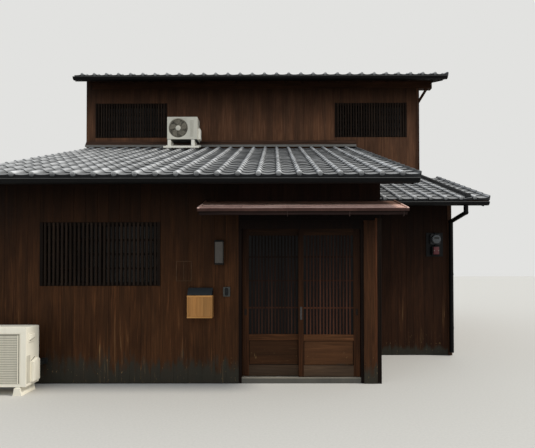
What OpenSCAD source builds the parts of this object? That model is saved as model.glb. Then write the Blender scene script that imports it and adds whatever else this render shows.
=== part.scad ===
// Traditional timber townhouse: a single-storey front block with a deep pantiled roof,
// an upper storey that stands back behind it, and a narrower part that stands back at the
// right. Lengths are in millimetres. X runs to the right, Y into the house and Z up. The
// origin is on the ground, in the middle of the plan.

/* [Plan] */
// Width between the outer faces of the side walls
house_w = 7640; // [7400:10:7900]
// Depth from the front wall to the front of the upper storey
front_d = 3520; // [3400:10:3700]
// Depth from the front of the upper storey to the back wall
rear_d = 5730; // [5400:10:6200]
// How far the wall right of the entrance stands back
recess_d = 1860; // [1750:10:1950]
// Width of the part that stands back
recess_w = 1810; // [1740:10:1880]
// Thickness of the clay and timber walls
wall_t = 120; // [112:2:130]
// Top of the ground floor above the ground
floor_z = 60; // [40:5:70]

/* [Roofs] */
// Rise of every roof for each unit of run
pitch = 0.373; // [0.36:0.001:0.386]
// Overhang of the front eave
main_out = 600; // [540:10:660]
// Height of the roof boards at the front eave
main_eave_z = 2815; // [2780:5:2850]
// Overhang of the front roof past its right-hand wall
main_verge = 370; // [330:10:400]
// Overhang of the eave over the part that stands back
right_out = 590; // [540:10:640]
// Height of the roof boards at that eave
right_eave_z = 2810; // [2780:5:2840]
// Overhang of that roof past the right-hand wall
right_verge = 420; // [390:10:450]
// Width of the outer row of tiles, past the small ridge that runs down this roof
kerb_w = 400; // [370:10:420]
// Height of the outer row above the other tiles
kerb_h = 10; // [4:1:24]
// Width of the small ridge that runs down this roof
rake_w = 100; // [86:2:120]
// Height of the small ridge above the roof boards
rake_h = 122; // [114:1:136]
// Overhang of the upper eaves
upper_out = 550; // [500:10:600]
// Height of the upper wall from the lower roof boards to the upper ones
upper_wall_h = 1646; // [1615:1:1680]
// Overhang of the upper roof past the right-hand wall
upper_verge = 450; // [420:10:480]
// Thickness of the roof boards, measured upright
deck_t = 24; // [18:1:30]
// Width of a rafter
rafter_w = 45; // [36:1:60]
// Depth of a rafter, measured upright
rafter_h = 60; // [50:1:75]
// Target distance between rafters
rafter_step = 382; // [300:1:455]
// Thickness of the fascia and verge boards
fascia_t = 24; // [18:1:30]
// How far the fascia reaches below the ends of the rafters
fascia_drop = 4; // [2:1:20]

/* [Tiles] */
// Width that one pantile covers
tile_w = 263; // [240:1:290]
// Height of the roll of a pantile above the roof boards
roll_h = 80; // [72:1:88]
// Height of the rim where roll and pan meet
rim_h = 47; // [43:1:52]
// Height of the middle of the pan above the roof boards
pan_h = 36; // [30:1:40]
// Share of a tile that the roll takes
roll_share = 0.31; // [0.28:0.01:0.36]
// Distance from the front roof's verge to the middle of its last roll
main_roll_in = 239; // [160:1:260]
// Distance from the outer row to the middle of the last roll beside it
right_roll_in = 100; // [60:1:120]
// Distance from the outer verge to the middle of the outer row's roll
kerb_roll_in = 262; // [230:1:270]
// Distance from the upper roof's verge to the middle of its last roll
upper_roll_in = 290; // [220:1:300]
// Height of the band that the eave tiles turn down at the front
lip_h = 45; // [35:1:50]
// Thickness of that band
lip_t = 16; // [12:1:20]
// Radius of the round boss on each roll of an eave tile
boss_r = 30; // [24:1:32]
// Width of the ridge at its foot
ridge_w = 230; // [200:5:260]
// Height of the ridge above the roof boards
ridge_h = 330; // [280:5:360]
// Radius of the round cap along the ridge
cap_r = 82; // [74:1:90]
// Thickness of the end tiles of the ridge
end_t = 60; // [48:1:72]
// Height of the end tiles of the ridge above the roof boards
end_h = 400; // [360:5:430]
// How far the flashing reaches out over the tiles
flash_out = 80; // [60:1:85]
// Height of the flashing up the wall above the tiles
flash_up = 128; // [112:1:145]
// Thickness of the flashing strip
flash_t = 12; // [9:1:15]

/* [Gutters] */
// Outer radius of a gutter
gutter_r = 55; // [48:1:60]
// Thickness of a gutter's wall
gutter_t = 4; // [3:0.5:6]
// How far a gutter's rim lies below the top of the roof boards
gutter_drop = 44; // [30:1:56]
// How far a gutter's end lies inside the edge of its roof
gutter_in = 45; // [30:5:60]
// Distance between gutter straps
strap_step = 900; // [700:10:1100]
// Radius of the downpipe
pipe_r = 38; // [32:1:42]
// Distance of the downpipe's middle from the right-hand wall's outer face
pipe_in = 10; // [5:1:40]
// Height of the lower clip of the downpipe
clip_z = 500; // [420:5:600]
// Distance between the clips of the downpipe
clip_step = 1000; // [850:5:1150]

/* [Entrance] */
// Clear width of the doorway
door_w = 1697; // [1640:1:1740]
// Height of the underside of the door head
door_h = 2200; // [2160:5:2240]
// Width of the wall between the door frame and the right corner
wing_w = 235; // [215:1:260]
// Width of a door jamb
jamb_w = 42; // [36:1:50]
// Depth of the door head
head_h = 120; // [100:1:130]
// Height of the door sill
sill_h = 80; // [75:1:90]
// Height of the rails on the sill
rail_h = 5; // [4:0.5:6]
// Thickness of a door leaf
leaf_t = 33; // [30:1:36]
// Space between a door leaf and the pieces round it
run_gap = 5; // [5:0.5:7]
// Space between a roller and its rail
roll_gap = 0.3; // [0.2:0.05:0.5]
// Width of the outer stiles of the leaves
stile_w = 95; // [80:1:105]
// Width of the stiles that meet in the middle
meet_w = 75; // [65:1:85]
// Height of the leaves' bottom rail
bottom_rail = 158; // [140:1:170]
// Height of the rail over the boarded foot of a leaf
mid_rail = 90; // [75:1:100]
// Height of that rail's underside above the ground
mid_rail_z = 600; // [560:5:640]
// Height of a leaf's top rail
top_rail = 100; // [85:1:110]
// Target distance between the bars of a leaf's lattice
leaf_step = 46; // [40:1:56]
// Width of a bar of a leaf's lattice
leaf_bar = 22; // [18:1:26]
// Thickness of the glass
glass_t = 4; // [3:0.5:5]
// Height of the middle of the finger pulls above the ground
pull_z = 1010; // [960:5:1060]
// Width of a finger pull
pull_w = 34; // [28:1:40]
// Height of a finger pull
pull_h = 90; // [76:1:104]
// Height of the lock plate's foot above the ground
lock_z = 905; // [860:5:950]
// Height of the lock plate
lock_h = 181; // [160:1:200]
// Width of the lock plate
lock_w = 30; // [26:1:34]

/* [Canopy] */
// Width of the canopy over the entrance
canopy_w = 2711; // [2600:1:2760]
// How far the canopy passes the right corner of the front wall
canopy_past = 218; // [180:1:240]
// Depth of the canopy from the wall to its front edge
canopy_d = 620; // [560:10:660]
// Height of the top of the canopy's front edge
canopy_z = 2410; // [2400:5:2430]
// Rise of the canopy for each unit of depth
canopy_pitch = 0.312; // [0.288:0.004:0.336]
// Thickness of the canopy's sheet and boards, measured upright
canopy_t = 30; // [24:1:36]
// Height of the canopy's turned-down front edge
canopy_lip = 40; // [34:1:46]
// Width of the raised strips on the canopy's two ends
canopy_trim = 28; // [22:1:34]
// Width of an arm under the canopy
arm_w = 60; // [50:1:70]
// Depth of an arm under the canopy
arm_h = 70; // [60:1:80]
// Depth of the rail under the canopy's front edge
front_rail_h = 60; // [50:1:66]

/* [Windows] */
// Width of the lattice window in the front wall
low_win_w = 1722; // [1650:1:1780]
// Distance of that window from the left-hand wall's outer face
low_win_x = 976; // [900:1:1050]
// Height of its foot above the ground
low_win_z = 1390; // [1340:5:1440]
// Height of that window
low_win_h = 910; // [860:5:960]
// Width of the upper windows
up_win_w = 1650; // [1590:10:1700]
// Distance of the left upper window from the left-hand wall's outer face
up_win_x = 213; // [180:1:245]
// Distance of the right upper window from the right-hand wall's outer face
up_win_in = 271; // [235:1:300]
// Height of their foot above the lower roof's boards at the wall
up_win_rise = 283; // [262:1:308]
// Height of the upper windows
up_win_h = 795; // [760:5:830]
// Width of the frame round a lattice
frame_w = 45; // [36:1:54]
// How far a lattice stands in front of the wall
frame_out = 20; // [12:1:28]
// Depth of a lattice's frame
frame_d = 60; // [52:1:66]
// Target distance between the bars of a lattice
bar_step = 61; // [52:1:70]
// Width of a bar
bar_w = 30; // [24:1:34]
// Depth of a bar
bar_d = 28; // [22:1:32]
// Height of a cross rail behind the bars
nuki_h = 24; // [18:1:30]
// Depth of a cross rail
nuki_d = 10; // [8:1:12]
// Width of a sash's frame
sash_w = 40; // [34:1:46]
// Depth of a sash's frame
sash_d = 30; // [24:1:34]

/* [Floors and beams] */
// Top of the upper floor above the ground
upper_floor_z = 3200; // [3150:10:3250]
// Thickness of the upper floor with its joists
upper_floor_t = 150; // [120:5:180]
// Depth of the beams under the upper floor
girder_h = 300; // [260:5:330]
// Depth of the beams under the rafters
purlin_h = 150; // [130:5:170]
// How far the beams pass the right-hand wall
purlin_out = 318; // [285:1:345]
// How far the foot of the strut lies below its beam
strut_drop = 390; // [350:5:430]
// How far the strut reaches out
strut_out = 240; // [215:5:265]
// Depth of the strut, measured upright
strut_h = 110; // [90:5:130]
// Width of the strut
strut_w = 40; // [34:1:48]

/* [Fittings] */
// Width of the wall lamp
lamp_w = 126; // [110:1:140]
// Depth of the wall lamp
lamp_d = 95; // [80:1:110]
// Height of the wall lamp
lamp_h = 350; // [320:1:370]
// Height of the lamp's foot above the ground
lamp_z = 1690; // [1600:5:1750]
// Distance of the lamp's middle from the doorway
lamp_x = 312; // [290:1:340]
// Width of the letter box
box_w = 353; // [330:1:370]
// Depth of the letter box
box_d = 130; // [110:1:150]
// Height of the letter box
box_h = 420; // [390:1:440]
// Height of the letter box's foot above the ground
box_z = 944; // [900:1:990]
// Distance of the letter box's middle from the doorway
box_x = 577; // [540:1:620]
// Width of the door phone
phone_w = 99; // [90:1:108]
// Depth of the door phone
phone_d = 34; // [28:1:40]
// Height of the door phone
phone_h = 137; // [125:1:145]
// Height of the door phone's foot above the ground
phone_z = 1237; // [1200:1:1280]
// Distance of the door phone's middle from the doorway
phone_x = 211; // [195:1:230]
// Width of the meter board
board_w = 314; // [290:1:330]
// Depth of the meter board
board_d = 22; // [18:1:28]
// Height of the meter board
board_h = 445; // [420:1:470]
// Width of the meter on that board
meter_w = 190; // [170:1:210]
// Depth of the meter on that board
meter_d = 110; // [96:1:124]
// Height of the meter board's foot above the ground
board_z = 1848; // [1800:1:1900]
// Distance of the meter board from the right-hand wall's outer face
board_x = 150; // [135:1:170]
// Width of the cooling unit on the roof
roof_unit_w = 656; // [630:1:680]
// Depth of the cooling unit on the roof
roof_unit_d = 280; // [260:1:310]
// Height of the cooling unit on the roof
roof_unit_h = 493; // [470:1:515]
// Length of the rails under that unit's legs
roof_rail_w = 770; // [730:10:810]
// Distance of its middle from the left-hand wall's outer face
roof_unit_x = 2336; // [2240:1:2430]
// Space between its back and the wall of the upper storey
roof_unit_gap = 295; // [260:5:340]
// Height of its body above the tiles at its front
roof_unit_leg = 197; // [175:1:220]
// Width of the cooling unit on the ground
yard_unit_w = 780; // [750:1:800]
// Depth of the cooling unit on the ground
yard_unit_d = 290; // [270:1:310]
// Height of the cooling unit on the ground
yard_unit_h = 767; // [740:1:790]
// Distance of its middle from the left-hand wall's outer face
yard_unit_x = 725; // [600:1:800]
// Space between its back and the front wall
yard_unit_gap = 260; // [220:1:300]
// Height of its feet
yard_unit_leg = 108; // [90:1:130]

/* [Hidden] */
$fn = 48;

// Planes of the walls
x_left = -house_w / 2;
x_right = house_w / 2;
x_entry = x_right - recess_w;
y_front = -(front_d + rear_d) / 2;
y_back = -y_front;
y_recess = y_front + recess_d;
y_upper = y_front + front_d;
x_in_left = x_left + wall_t;
x_in_right = x_right - wall_t;
x_in_entry = x_entry - wall_t;

// Edges of the roofs
y_main_eave = y_front - main_out;
y_right_eave = y_recess - right_out;
y_up_eave = y_upper - upper_out;
y_back_eave = y_back + upper_out;
y_ridge = (y_up_eave + y_back_eave) / 2;
x_main_verge = x_entry + main_verge;
x_right_verge = x_right + right_verge;
x_up_verge = x_right + upper_verge;
verge_in = 110;
upper_eave_z = main_eave_z + pitch * (y_upper - y_main_eave) + upper_wall_h - pitch * upper_out;
x_main_board = x_main_verge - verge_in + fascia_t;
x_right_board = x_right_verge - verge_in + fascia_t;
x_purlin = x_right + purlin_out;
fascia_h = rafter_h + fascia_drop;
slope = atan(pitch);

// Space on each side of the roof boards, so that the pieces over and under them lie close
fit = 0.05;

// Joint between the panels of a wall, beside each window
panel_joint = 0.5;

// Height of the top of the roof boards over a line at depth y
function main_top(y) = main_eave_z + pitch * (y - y_main_eave);
function right_top(y) = right_eave_z + pitch * (y - y_right_eave);
function up_top(y) = upper_eave_z + pitch * min(y - y_up_eave, y_back_eave - y);

// Doorway
x_door1 = x_entry - wing_w - jamb_w;
x_door0 = x_door1 - door_w;
leaf_w = (door_w - 2 * run_gap + meet_w) / 2;
leaf_travel = door_w - 2 * run_gap - leaf_w;
leaf_lift = 7;
leaf_z = sill_h + rail_h + leaf_lift;
groove_d = 18;
lift_gap = 3;
leaf_top = door_h + groove_d - run_gap - lift_gap;
track_in = 15;
y_track1 = y_front + track_in;
y_track2 = y_track1 + leaf_t + 2 * run_gap;
rail_w = 6;
roller_r = 15;
roller_w = 8;
leaf_rails = [1070, 1460, 1800];

// Windows as [left, right, foot, head]
low_win = [x_left + low_win_x, x_left + low_win_x + low_win_w, low_win_z, low_win_z + low_win_h];
up_win_z = main_top(y_upper) + up_win_rise;
up_win_l = [x_left + up_win_x, x_left + up_win_x + up_win_w, up_win_z, up_win_z + up_win_h];
up_win_r = [x_right - up_win_in - up_win_w, x_right - up_win_in, up_win_z, up_win_z + up_win_h];
sash_in = 30;
sash_y = frame_d - frame_out + sash_in;

girder_top = upper_floor_z - upper_floor_t;

// Colours
dark_wood = [0.20, 0.13, 0.09];
brown_wood = [0.35, 0.22, 0.14];
tile_grey = [0.42, 0.43, 0.45];
pale_metal = [0.72, 0.71, 0.66];
black_metal = [0.10, 0.10, 0.11];
plaster = [0.62, 0.56, 0.48];
copper = [0.55, 0.45, 0.41];
glass_blue = [0.45, 0.52, 0.55, 0.4];

// A box between two corners
module block(x0, x1, y0, y1, z0, z1) {
    translate([x0, y0, z0]) cube([x1 - x0, y1 - y0, z1 - z0]);
}

// An outline in the Y and Z plane, carried from x0 to x1
module along_x(x0, x1) {
    translate([x0, 0, 0]) rotate([90, 0, 90]) linear_extrude(x1 - x0) children();
}

// An outline in the X and Z plane, carried from y0 to y1
module along_y(y0, y1) {
    translate([0, y1, 0]) rotate([90, 0, 0]) linear_extrude(y1 - y0) children();
}

// Turns what is drawn for a front wall at Y = 0 round to the back wall
module at_back() {
    translate([0, y_back, 0]) rotate([0, 0, 180]) children();
}

// A rectangle with round corners
module round_rect(w, d, r) {
    translate([r, 0]) square([w - 2 * r, d]);
    translate([0, r]) square([w, d - 2 * r]);
    for (x = [r, w - r], y = [r, d - r]) translate([x, y]) circle(r);
}

// A strip under a roof: top and bottom follow the slope, the ends stand upright
module sloped(x0, x1, y0, y1, z_at_y0, t, rise = pitch) {
    z1 = z_at_y0 + rise * (y1 - y0);
    along_x(x0, x1) polygon([[y0, z_at_y0 - t], [y1, z1 - t], [y1, z1], [y0, z_at_y0]]);
}

// A wall under a sloping roof, from y0 to y0 + wall_t
module lean_wall(x0, x1, y0, z0, z_front, z_back) {
    y1 = y0 + wall_t;
    along_x(x0, x1) polygon([[y0, z0], [y1, z0], [y1, z_back], [y0, z_front]]);
}

// Middle lines of evenly spread rafters between two walls
function rafters_between(xa, xb) =
    let (n = max(1, round((xb - xa) / rafter_step)))
    [for (i = [0.5:1:n]) xa + (xb - xa) * i / n];

main_rafter_x = concat(rafters_between(x_in_left, x_in_entry),
                       [x_main_board - fascia_t - rafter_w / 2]);
right_rafter_x = concat(rafters_between(x_entry, x_in_right),
                        [x_right_board - fascia_t - rafter_w / 2]);
up_rafter_x = concat(rafters_between(x_in_left, x_in_right), [x_purlin - rafter_w / 2]);

// Rafters of one slope. As a cut through what carries them they rise over its top
over_cut = 5;
module rafter_set(xs, y0, y1, z_eave, over = 0) {
    for (x = xs) {
        sloped(x - rafter_w / 2, x + rafter_w / 2, y0 + fascia_t, y1,
               z_eave - deck_t + pitch * fascia_t + over, rafter_h + over);
    }
}

// Board that closes the ends of the rafters along an eave
module fascia(x0, x1, y0, z_eave) {
    z_under = z_eave - deck_t;
    along_x(x0, x1) polygon([[y0, z_under - fascia_h], [y0 + fascia_t, z_under - fascia_h],
                             [y0 + fascia_t, z_under + pitch * fascia_t], [y0, z_under]]);
}

// Height of the tiles at distance u to the left of the right-hand edge of a roll's tile
function wave(u) =
    let (s = u / tile_w - floor(u / tile_w), pan = 1 - roll_share)
    s > pan ? rim_h + (roll_h - rim_h) * sin(180 * (s - pan) / roll_share)
            : rim_h - (rim_h - pan_h) * sin(180 * s / pan);

// One slope of pantiles: rolls and pans run down the slope. The eave tiles turn down at
// their front in a wavy band with a round boss on each roll. The middle of the last roll
// lies roll_in from the right-hand edge
wave_steps = 9;
lip_gap = 10;
boss_out = 8;
module tile_field(x0, x1, y0, y1, z_eave, roll_in, lift = 0) {
    step = tile_w / wave_steps;
    n = ceil((x1 - x0) / step) - 1;
    start = tile_w * (1 - roll_share / 2) - roll_in;
    top = concat([for (i = [0:n]) [x1 - i * step, lift + wave(start + i * step)]],
                 [[x0, lift + wave(start + x1 - x0)]]);
    under = [for (i = [n + 1:-1:0]) [top[i][0], top[i][1] - lip_h]];
    run = (y1 - y0) / cos(slope);
    translate([0, y0, z_eave]) rotate([slope, 0, 0]) {
        along_y(-lip_gap, run) polygon(concat([[x0, 0], [x1, 0]], top));
        along_y(-lip_gap - lip_t, -lip_gap) polygon(concat(top, under));
        for (u = [roll_in:tile_w:x1 - x0 - boss_r]) if (u > boss_r) {
            translate([x1 - u, -lip_gap - lip_t / 2, lift + roll_h - boss_r + 1])
                rotate([90, 0, 0]) cylinder(r = boss_r, h = lip_t / 2 + boss_out);
        }
    }
}

// Cuts a window's hole through a wall whose outer face is at y
module window_hole(w, y) {
    block(w[0], w[1], y - 1, y + wall_t + 1, w[2], w[3]);
}

// Cuts the joints beside a window, which part the wall into panels
module panel_joints(w, y, z0, z1) {
    for (x = [w[0] - panel_joint, w[1]]) {
        block(x, x + panel_joint, y - 1, y + wall_t + 1, z0, z1);
    }
}

// The windows of the back wall, seen from behind
back_wins = [up_win_l, up_win_r, low_win];

module floor_slab() color(plaster) {
    difference() {
        block(x_in_left, x_in_right, y_front + wall_t, y_back - wall_t, 0, floor_z);
        block(x_in_entry, x_right, y_front, y_recess + wall_t, -1, floor_z + 1);
    }
}

// Side walls: low under the lower roof, high with a gable under the upper roof
module gable_wall(x0, y0, z_low0, z_low1) {
    along_x(x0, x0 + wall_t) polygon([
        [y0, 0], [y_back, 0], [y_back, up_top(y_back) - deck_t],
        [y_ridge, up_top(y_ridge) - deck_t], [y_upper, up_top(y_upper) - deck_t],
        [y_upper, z_low1 - deck_t], [y0, z_low0 - deck_t]]);
}

module left_party_wall() color(plaster) {
    gable_wall(x_left, y_front, main_top(y_front), main_top(y_upper));
}

module right_side_wall() color(brown_wood) {
    difference() {
        gable_wall(x_in_right, y_recess, right_top(y_recess), right_top(y_upper));
        upper_purlins();
    }
}

module entrance_side_wall() color(dark_wood) {
    y_in = y_recess + wall_t;
    along_x(x_in_entry, x_entry) polygon([
        [y_front, 0], [y_in, 0], [y_in, girder_top - girder_h],
        [y_upper, girder_top - girder_h], [y_upper, main_top(y_upper) - deck_t],
        [y_front, main_top(y_front) - deck_t]]);
}

module front_lean(x0, x1, z0) {
    lean_wall(x0, x1, y_front, z0, main_top(y_front) - deck_t,
              main_top(y_front + wall_t) - deck_t);
}

module front_wall() color(dark_wood) {
    difference() {
        front_lean(x_in_left, x_door0 - jamb_w, 0);
        main_rafter_bars(over_cut);
        window_hole(low_win, y_front);
        panel_joints(low_win, y_front, -1, main_top(y_front + wall_t));
    }
}

module wall_over_door() color(dark_wood) {
    difference() {
        front_lean(x_door0 - jamb_w, x_in_entry, door_h + head_h);
        main_rafter_bars(over_cut);
    }
}

module wing_wall() color(dark_wood) {
    block(x_door1 + jamb_w, x_in_entry, y_front, y_front + wall_t, 0, door_h + head_h);
}

module recessed_wall() color(dark_wood) {
    difference() {
        lean_wall(x_entry, x_in_right, y_recess, 0, right_top(y_recess) - deck_t,
                  right_top(y_recess + wall_t) - deck_t);
        right_rafter_bars(over_cut);
    }
}

module back_wall() color(brown_wood) {
    y_in = y_back - wall_t;
    z_plate = plate_z();
    z_mid = upper_floor_z;
    difference() {
        block(x_in_left, x_in_right, y_in, y_back, 0, z_plate);
        block(x_in_left - 1, x_in_right + 1, y_in - 1, y_back + 1, z_mid, z_mid + panel_joint);
        at_back() for (w = back_wins) window_hole(w, 0);
        at_back() panel_joints(low_win, 0, -1, z_mid);
        at_back() for (w = [up_win_l, up_win_r]) panel_joints(w, 0, z_mid, z_plate + 1);
    }
}

module upper_front_wall() color(brown_wood) {
    difference() {
        block(x_in_left, x_in_right, y_upper, y_upper + wall_t, girder_top, plate_z());
        for (w = [up_win_l, up_win_r]) {
            window_hole(w, y_upper);
            panel_joints(w, y_upper, girder_top - 1, plate_z() + 1);
        }
    }
}

module upper_floor() color(plaster) {
    block(x_in_left, x_in_right, y_upper + wall_t, y_back - wall_t, girder_top, upper_floor_z);
}

// Underside of the beams that carry the upper rafters at the walls
function plate_z() = up_top(y_upper) - deck_t - rafter_h - purlin_h;

// Beams under the upper rafters; their right-hand ends pass the wall
module upper_purlins() {
    half = wall_t / 2;
    plate = [[y_upper, plate_z()], [y_upper + wall_t, plate_z()],
             [y_upper + wall_t, up_top(y_upper + wall_t) - deck_t],
             [y_upper, up_top(y_upper) - deck_t]];
    under = deck_t + rafter_h;
    difference() {
        along_x(x_in_left, x_purlin) {
            polygon(plate);
            translate([2 * y_ridge, 0]) mirror([1, 0]) polygon(plate);
            polygon([[y_ridge - half, up_top(y_ridge - half) - under],
                     [y_ridge, up_top(y_ridge) - under],
                     [y_ridge + half, up_top(y_ridge + half) - under],
                     [y_ridge + half, up_top(y_ridge + half) - under - purlin_h],
                     [y_ridge - half, up_top(y_ridge - half) - under - purlin_h]]);
            for (y = [(y_upper + y_ridge) / 2, (y_back + y_ridge) / 2]) {
                z0 = up_top(y - half) - under;
                z1 = up_top(y + half) - under;
                z_foot = min(z0, z1) - purlin_h;
                polygon([[y - half, z0], [y + half, z1], [y + half, z_foot], [y - half, z_foot]]);
            }
        }
        upper_rafter_bars(over_cut);
    }
}

module beams() color(dark_wood) {
    upper_purlins();
    for (y = [y_upper, y_ridge - wall_t / 2]) {
        block(x_in_left, x_in_right, y, y + wall_t, girder_top - girder_h, girder_top);
    }
}

// Slanting strut under the front beam's end
module strut() color(dark_wood) {
    foot_z = plate_z() - strut_drop;
    lean = strut_out / strut_drop;
    y0 = y_upper + (wall_t - strut_w) / 2;
    along_y(y0, y0 + strut_w) polygon([
        [x_right, foot_z + strut_h], [x_right + strut_out - lean * strut_h, plate_z()],
        [x_right + strut_out, plate_z()], [x_right, foot_z]]);
}

module main_rafter_bars(over = 0) {
    rafter_set(main_rafter_x, y_main_eave, y_upper, main_eave_z, over);
}

module main_rafters() color(dark_wood) main_rafter_bars();

module main_deck() color(brown_wood) {
    sloped(x_left, x_main_verge, y_main_eave, y_upper, main_eave_z - fit, deck_t - 2 * fit);
}

module main_tiles() color(tile_grey) {
    tile_field(x_left, x_main_verge, y_main_eave, y_upper, main_eave_z, main_roll_in);
}

module right_rafter_bars(over = 0) {
    rafter_set(right_rafter_x, y_right_eave, y_upper, right_eave_z, over);
}

module right_rafters() color(dark_wood) right_rafter_bars();

module right_deck() color(brown_wood) {
    sloped(x_entry, x_right_verge, y_right_eave, y_upper, right_eave_z - fit, deck_t - 2 * fit);
}

// Small ridge down the slope over the joint between two rows: two flat courses that step
// in, a round cap and a disc that closes the lower end
rake_step = 5;
rake_cap = 0.42;
rake_start = 30;
rake_end_t = 22;
rake_back = 15;
x_kerb = x_right_verge - kerb_w;
x_rake = x_kerb - rake_back;
module rake_ridge(x0, y0, y1, z_eave) {
    xm = x0 + rake_w / 2;
    cap = rake_cap * rake_w;
    z_cap = rake_h - cap;
    run = (y1 - y0) / cos(slope);
    translate([0, y0, z_eave]) rotate([slope, 0, 0]) {
        along_y(rake_start, run) {
            for (i = [0, 1]) translate([x0 + i * rake_step, 0])
                square([rake_w - 2 * i * rake_step, z_cap - (1 - i) * rake_w / 5]);
            translate([xm, z_cap]) circle(cap);
        }
        along_y(rake_start - rake_end_t, rake_start) {
            translate([xm, z_cap]) circle(cap + 3);
            translate([x0, 0]) square([rake_w, z_cap]);
        }
    }
}

module right_tiles() color(tile_grey) {
    tile_field(x_entry + fit, x_kerb, y_right_eave, y_upper, right_eave_z, right_roll_in);
    tile_field(x_kerb, x_right_verge, y_right_eave, y_upper, right_eave_z, kerb_roll_in, kerb_h);
    rake_ridge(x_rake, y_right_eave, y_upper, right_eave_z);
}

// Draws a slope of the upper roof once at the front and once turned to the back
module both_slopes() {
    children();
    translate([0, 2 * y_ridge, 0]) mirror([0, 1, 0]) children();
}

// Space between the two rafters that meet at the ridge
ridge_gap = 4;
module upper_rafter_bars(over = 0) {
    both_slopes() rafter_set(up_rafter_x, y_up_eave, y_ridge - ridge_gap / 2, upper_eave_z, over);
}

module upper_rafters() color(dark_wood) upper_rafter_bars();

module upper_deck() color(brown_wood) {
    both_slopes() sloped(x_left, x_up_verge, y_up_eave, y_ridge, upper_eave_z - fit,
                         deck_t - 2 * fit);
}

module upper_tiles() color(tile_grey) {
    both_slopes() {
        tile_field(x_left, x_up_verge, y_up_eave, y_ridge - ridge_w / 2, upper_eave_z,
                   upper_roll_in);
    }
}

// Ridge: flat tiles that step in, a round cap and a round-headed end tile at each end
layers = 4;
layer_gap = 8;
layer_in = 9;
layer_slant = 14;
end_flare = 25;
end_lift = 1;
module ridge() color(tile_grey) {
    z_top = up_top(y_ridge);
    half = ridge_w / 2;
    z_foot = up_top(y_ridge - half);
    z_cap = z_top + ridge_h - cap_r;
    bed_h = z_cap - z_top - roll_h;
    layer_h = bed_h / layers;
    along_x(x_left, x_up_verge) {
        polygon([[y_ridge - half, z_foot], [y_ridge, z_top], [y_ridge + half, z_foot],
                 [y_ridge + half, z_top + roll_h], [y_ridge - half, z_top + roll_h]]);
        for (i = [0:layers - 1]) {
            w = half - layer_in * i;
            z = z_top + roll_h + i * layer_h;
            polygon([[y_ridge - w, z], [y_ridge + w, z], [y_ridge + w, z + layer_h - layer_gap],
                     [y_ridge + w - layer_slant, z + layer_h],
                     [y_ridge - w + layer_slant, z + layer_h],
                     [y_ridge - w, z + layer_h - layer_gap]]);
        }
        translate([y_ridge, z_cap]) circle(cap_r);
    }
    for (x = [x_left, x_up_verge - end_t]) along_x(x, x + end_t) {
        translate([y_ridge, z_top + end_h - half]) circle(half);
        polygon([[y_ridge - half - end_flare, z_top + roll_h + end_lift],
                 [y_ridge + half + end_flare, z_top + roll_h + end_lift],
                 [y_ridge + half, z_top + end_h - half], [y_ridge - half, z_top + end_h - half]]);
    }
}

// Boards along the eaves, over the ends of the rafters
module eave_boards() color(dark_wood) {
    fascia(x_left, x_main_board - fascia_t, y_main_eave, main_eave_z);
    fascia(x_entry, x_right_board - fascia_t, y_right_eave, right_eave_z);
    both_slopes() fascia(x_left, x_purlin, y_up_eave, upper_eave_z);
}

// Boards under the verges
verge_h = fascia_h + rafter_h / 4;
module verge_boards() color(dark_wood) {
    sloped(x_main_board - fascia_t, x_main_board, y_main_eave, y_upper,
           main_eave_z - deck_t, verge_h);
    sloped(x_right_board - fascia_t, x_right_board, y_right_eave, y_upper,
           right_eave_z - deck_t, verge_h);
}

module upper_verge_boards() color(dark_wood) {
    both_slopes() sloped(x_purlin, x_purlin + fascia_t, y_up_eave, y_ridge - ridge_gap / 2,
                         upper_eave_z - deck_t, verge_h);
}

// Flashing over the upper end of the lower tiles, which ends beside the small ridge
flash_gap = 0.5;
module flashing_strip(x0, x1, z_wall) {
    z0 = z_wall + roll_h / cos(slope) + 1;
    y_lip = y_upper - flash_out;
    z_lip = z0 - pitch * flash_out;
    along_x(x0, x1) polygon([
        [y_lip, z_lip], [y_upper, z0], [y_upper, z0 + flash_up],
        [y_upper - flash_t, z0 + flash_up], [y_upper - flash_t, z0 + flash_t],
        [y_lip, z_lip + flash_t]]);
}

module wall_flashing() color(plaster) {
    flashing_strip(x_left, x_main_verge, main_top(y_upper));
    flashing_strip(x_main_verge, x_rake - flash_gap, right_top(y_upper));
}

// Half-round gutter along an eave, with the straps that hold it to the fascia, which ends
// at x_fix
gutter_gap = 6;
strap_w = 24;
strap_t = 4;
strap_h = 20;
module gutter(x0, x1, x_fix, y_eave, z_rim) {
    yc = y_eave - gutter_r - gutter_gap;
    strap_n = max(1, round((x_fix - x0) / strap_step));
    along_x(x0, x1) difference() {
        translate([yc, z_rim]) difference() {
            circle(gutter_r);
            circle(gutter_r - gutter_t);
        }
        translate([yc - 2 * gutter_r, z_rim]) square(4 * gutter_r);
    }
    for (x = [x0, x1 - gutter_t]) {
        along_x(x, x + gutter_t) difference() {
            translate([yc, z_rim]) circle(gutter_r);
            translate([yc - 2 * gutter_r, z_rim]) square(4 * gutter_r);
        }
    }
    for (i = [0.5:1:strap_n]) {
        x = x0 + (x_fix - x0) * i / strap_n;
        xa = x - strap_w / 2;
        block(xa, xa + strap_w, yc + gutter_r - gutter_t, y_eave, z_rim - strap_h, z_rim);
        block(xa, xa + strap_w, yc - gutter_r, yc + gutter_r, z_rim - strap_t, z_rim);
    }
}

gutter_end = 20;
module lower_gutters() color(black_metal) {
    gutter(x_left, x_main_verge - gutter_in, x_main_board - fascia_t, y_main_eave,
           main_eave_z - gutter_drop);
    gutter(x_entry + gutter_end, x_right_verge - gutter_in, x_right_board - fascia_t,
           y_right_eave, right_eave_z - gutter_drop);
}

module upper_gutters() color(black_metal) {
    both_slopes() gutter(x_left, x_up_verge - gutter_in, x_purlin, y_up_eave,
                         upper_eave_z - gutter_drop);
}

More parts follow.
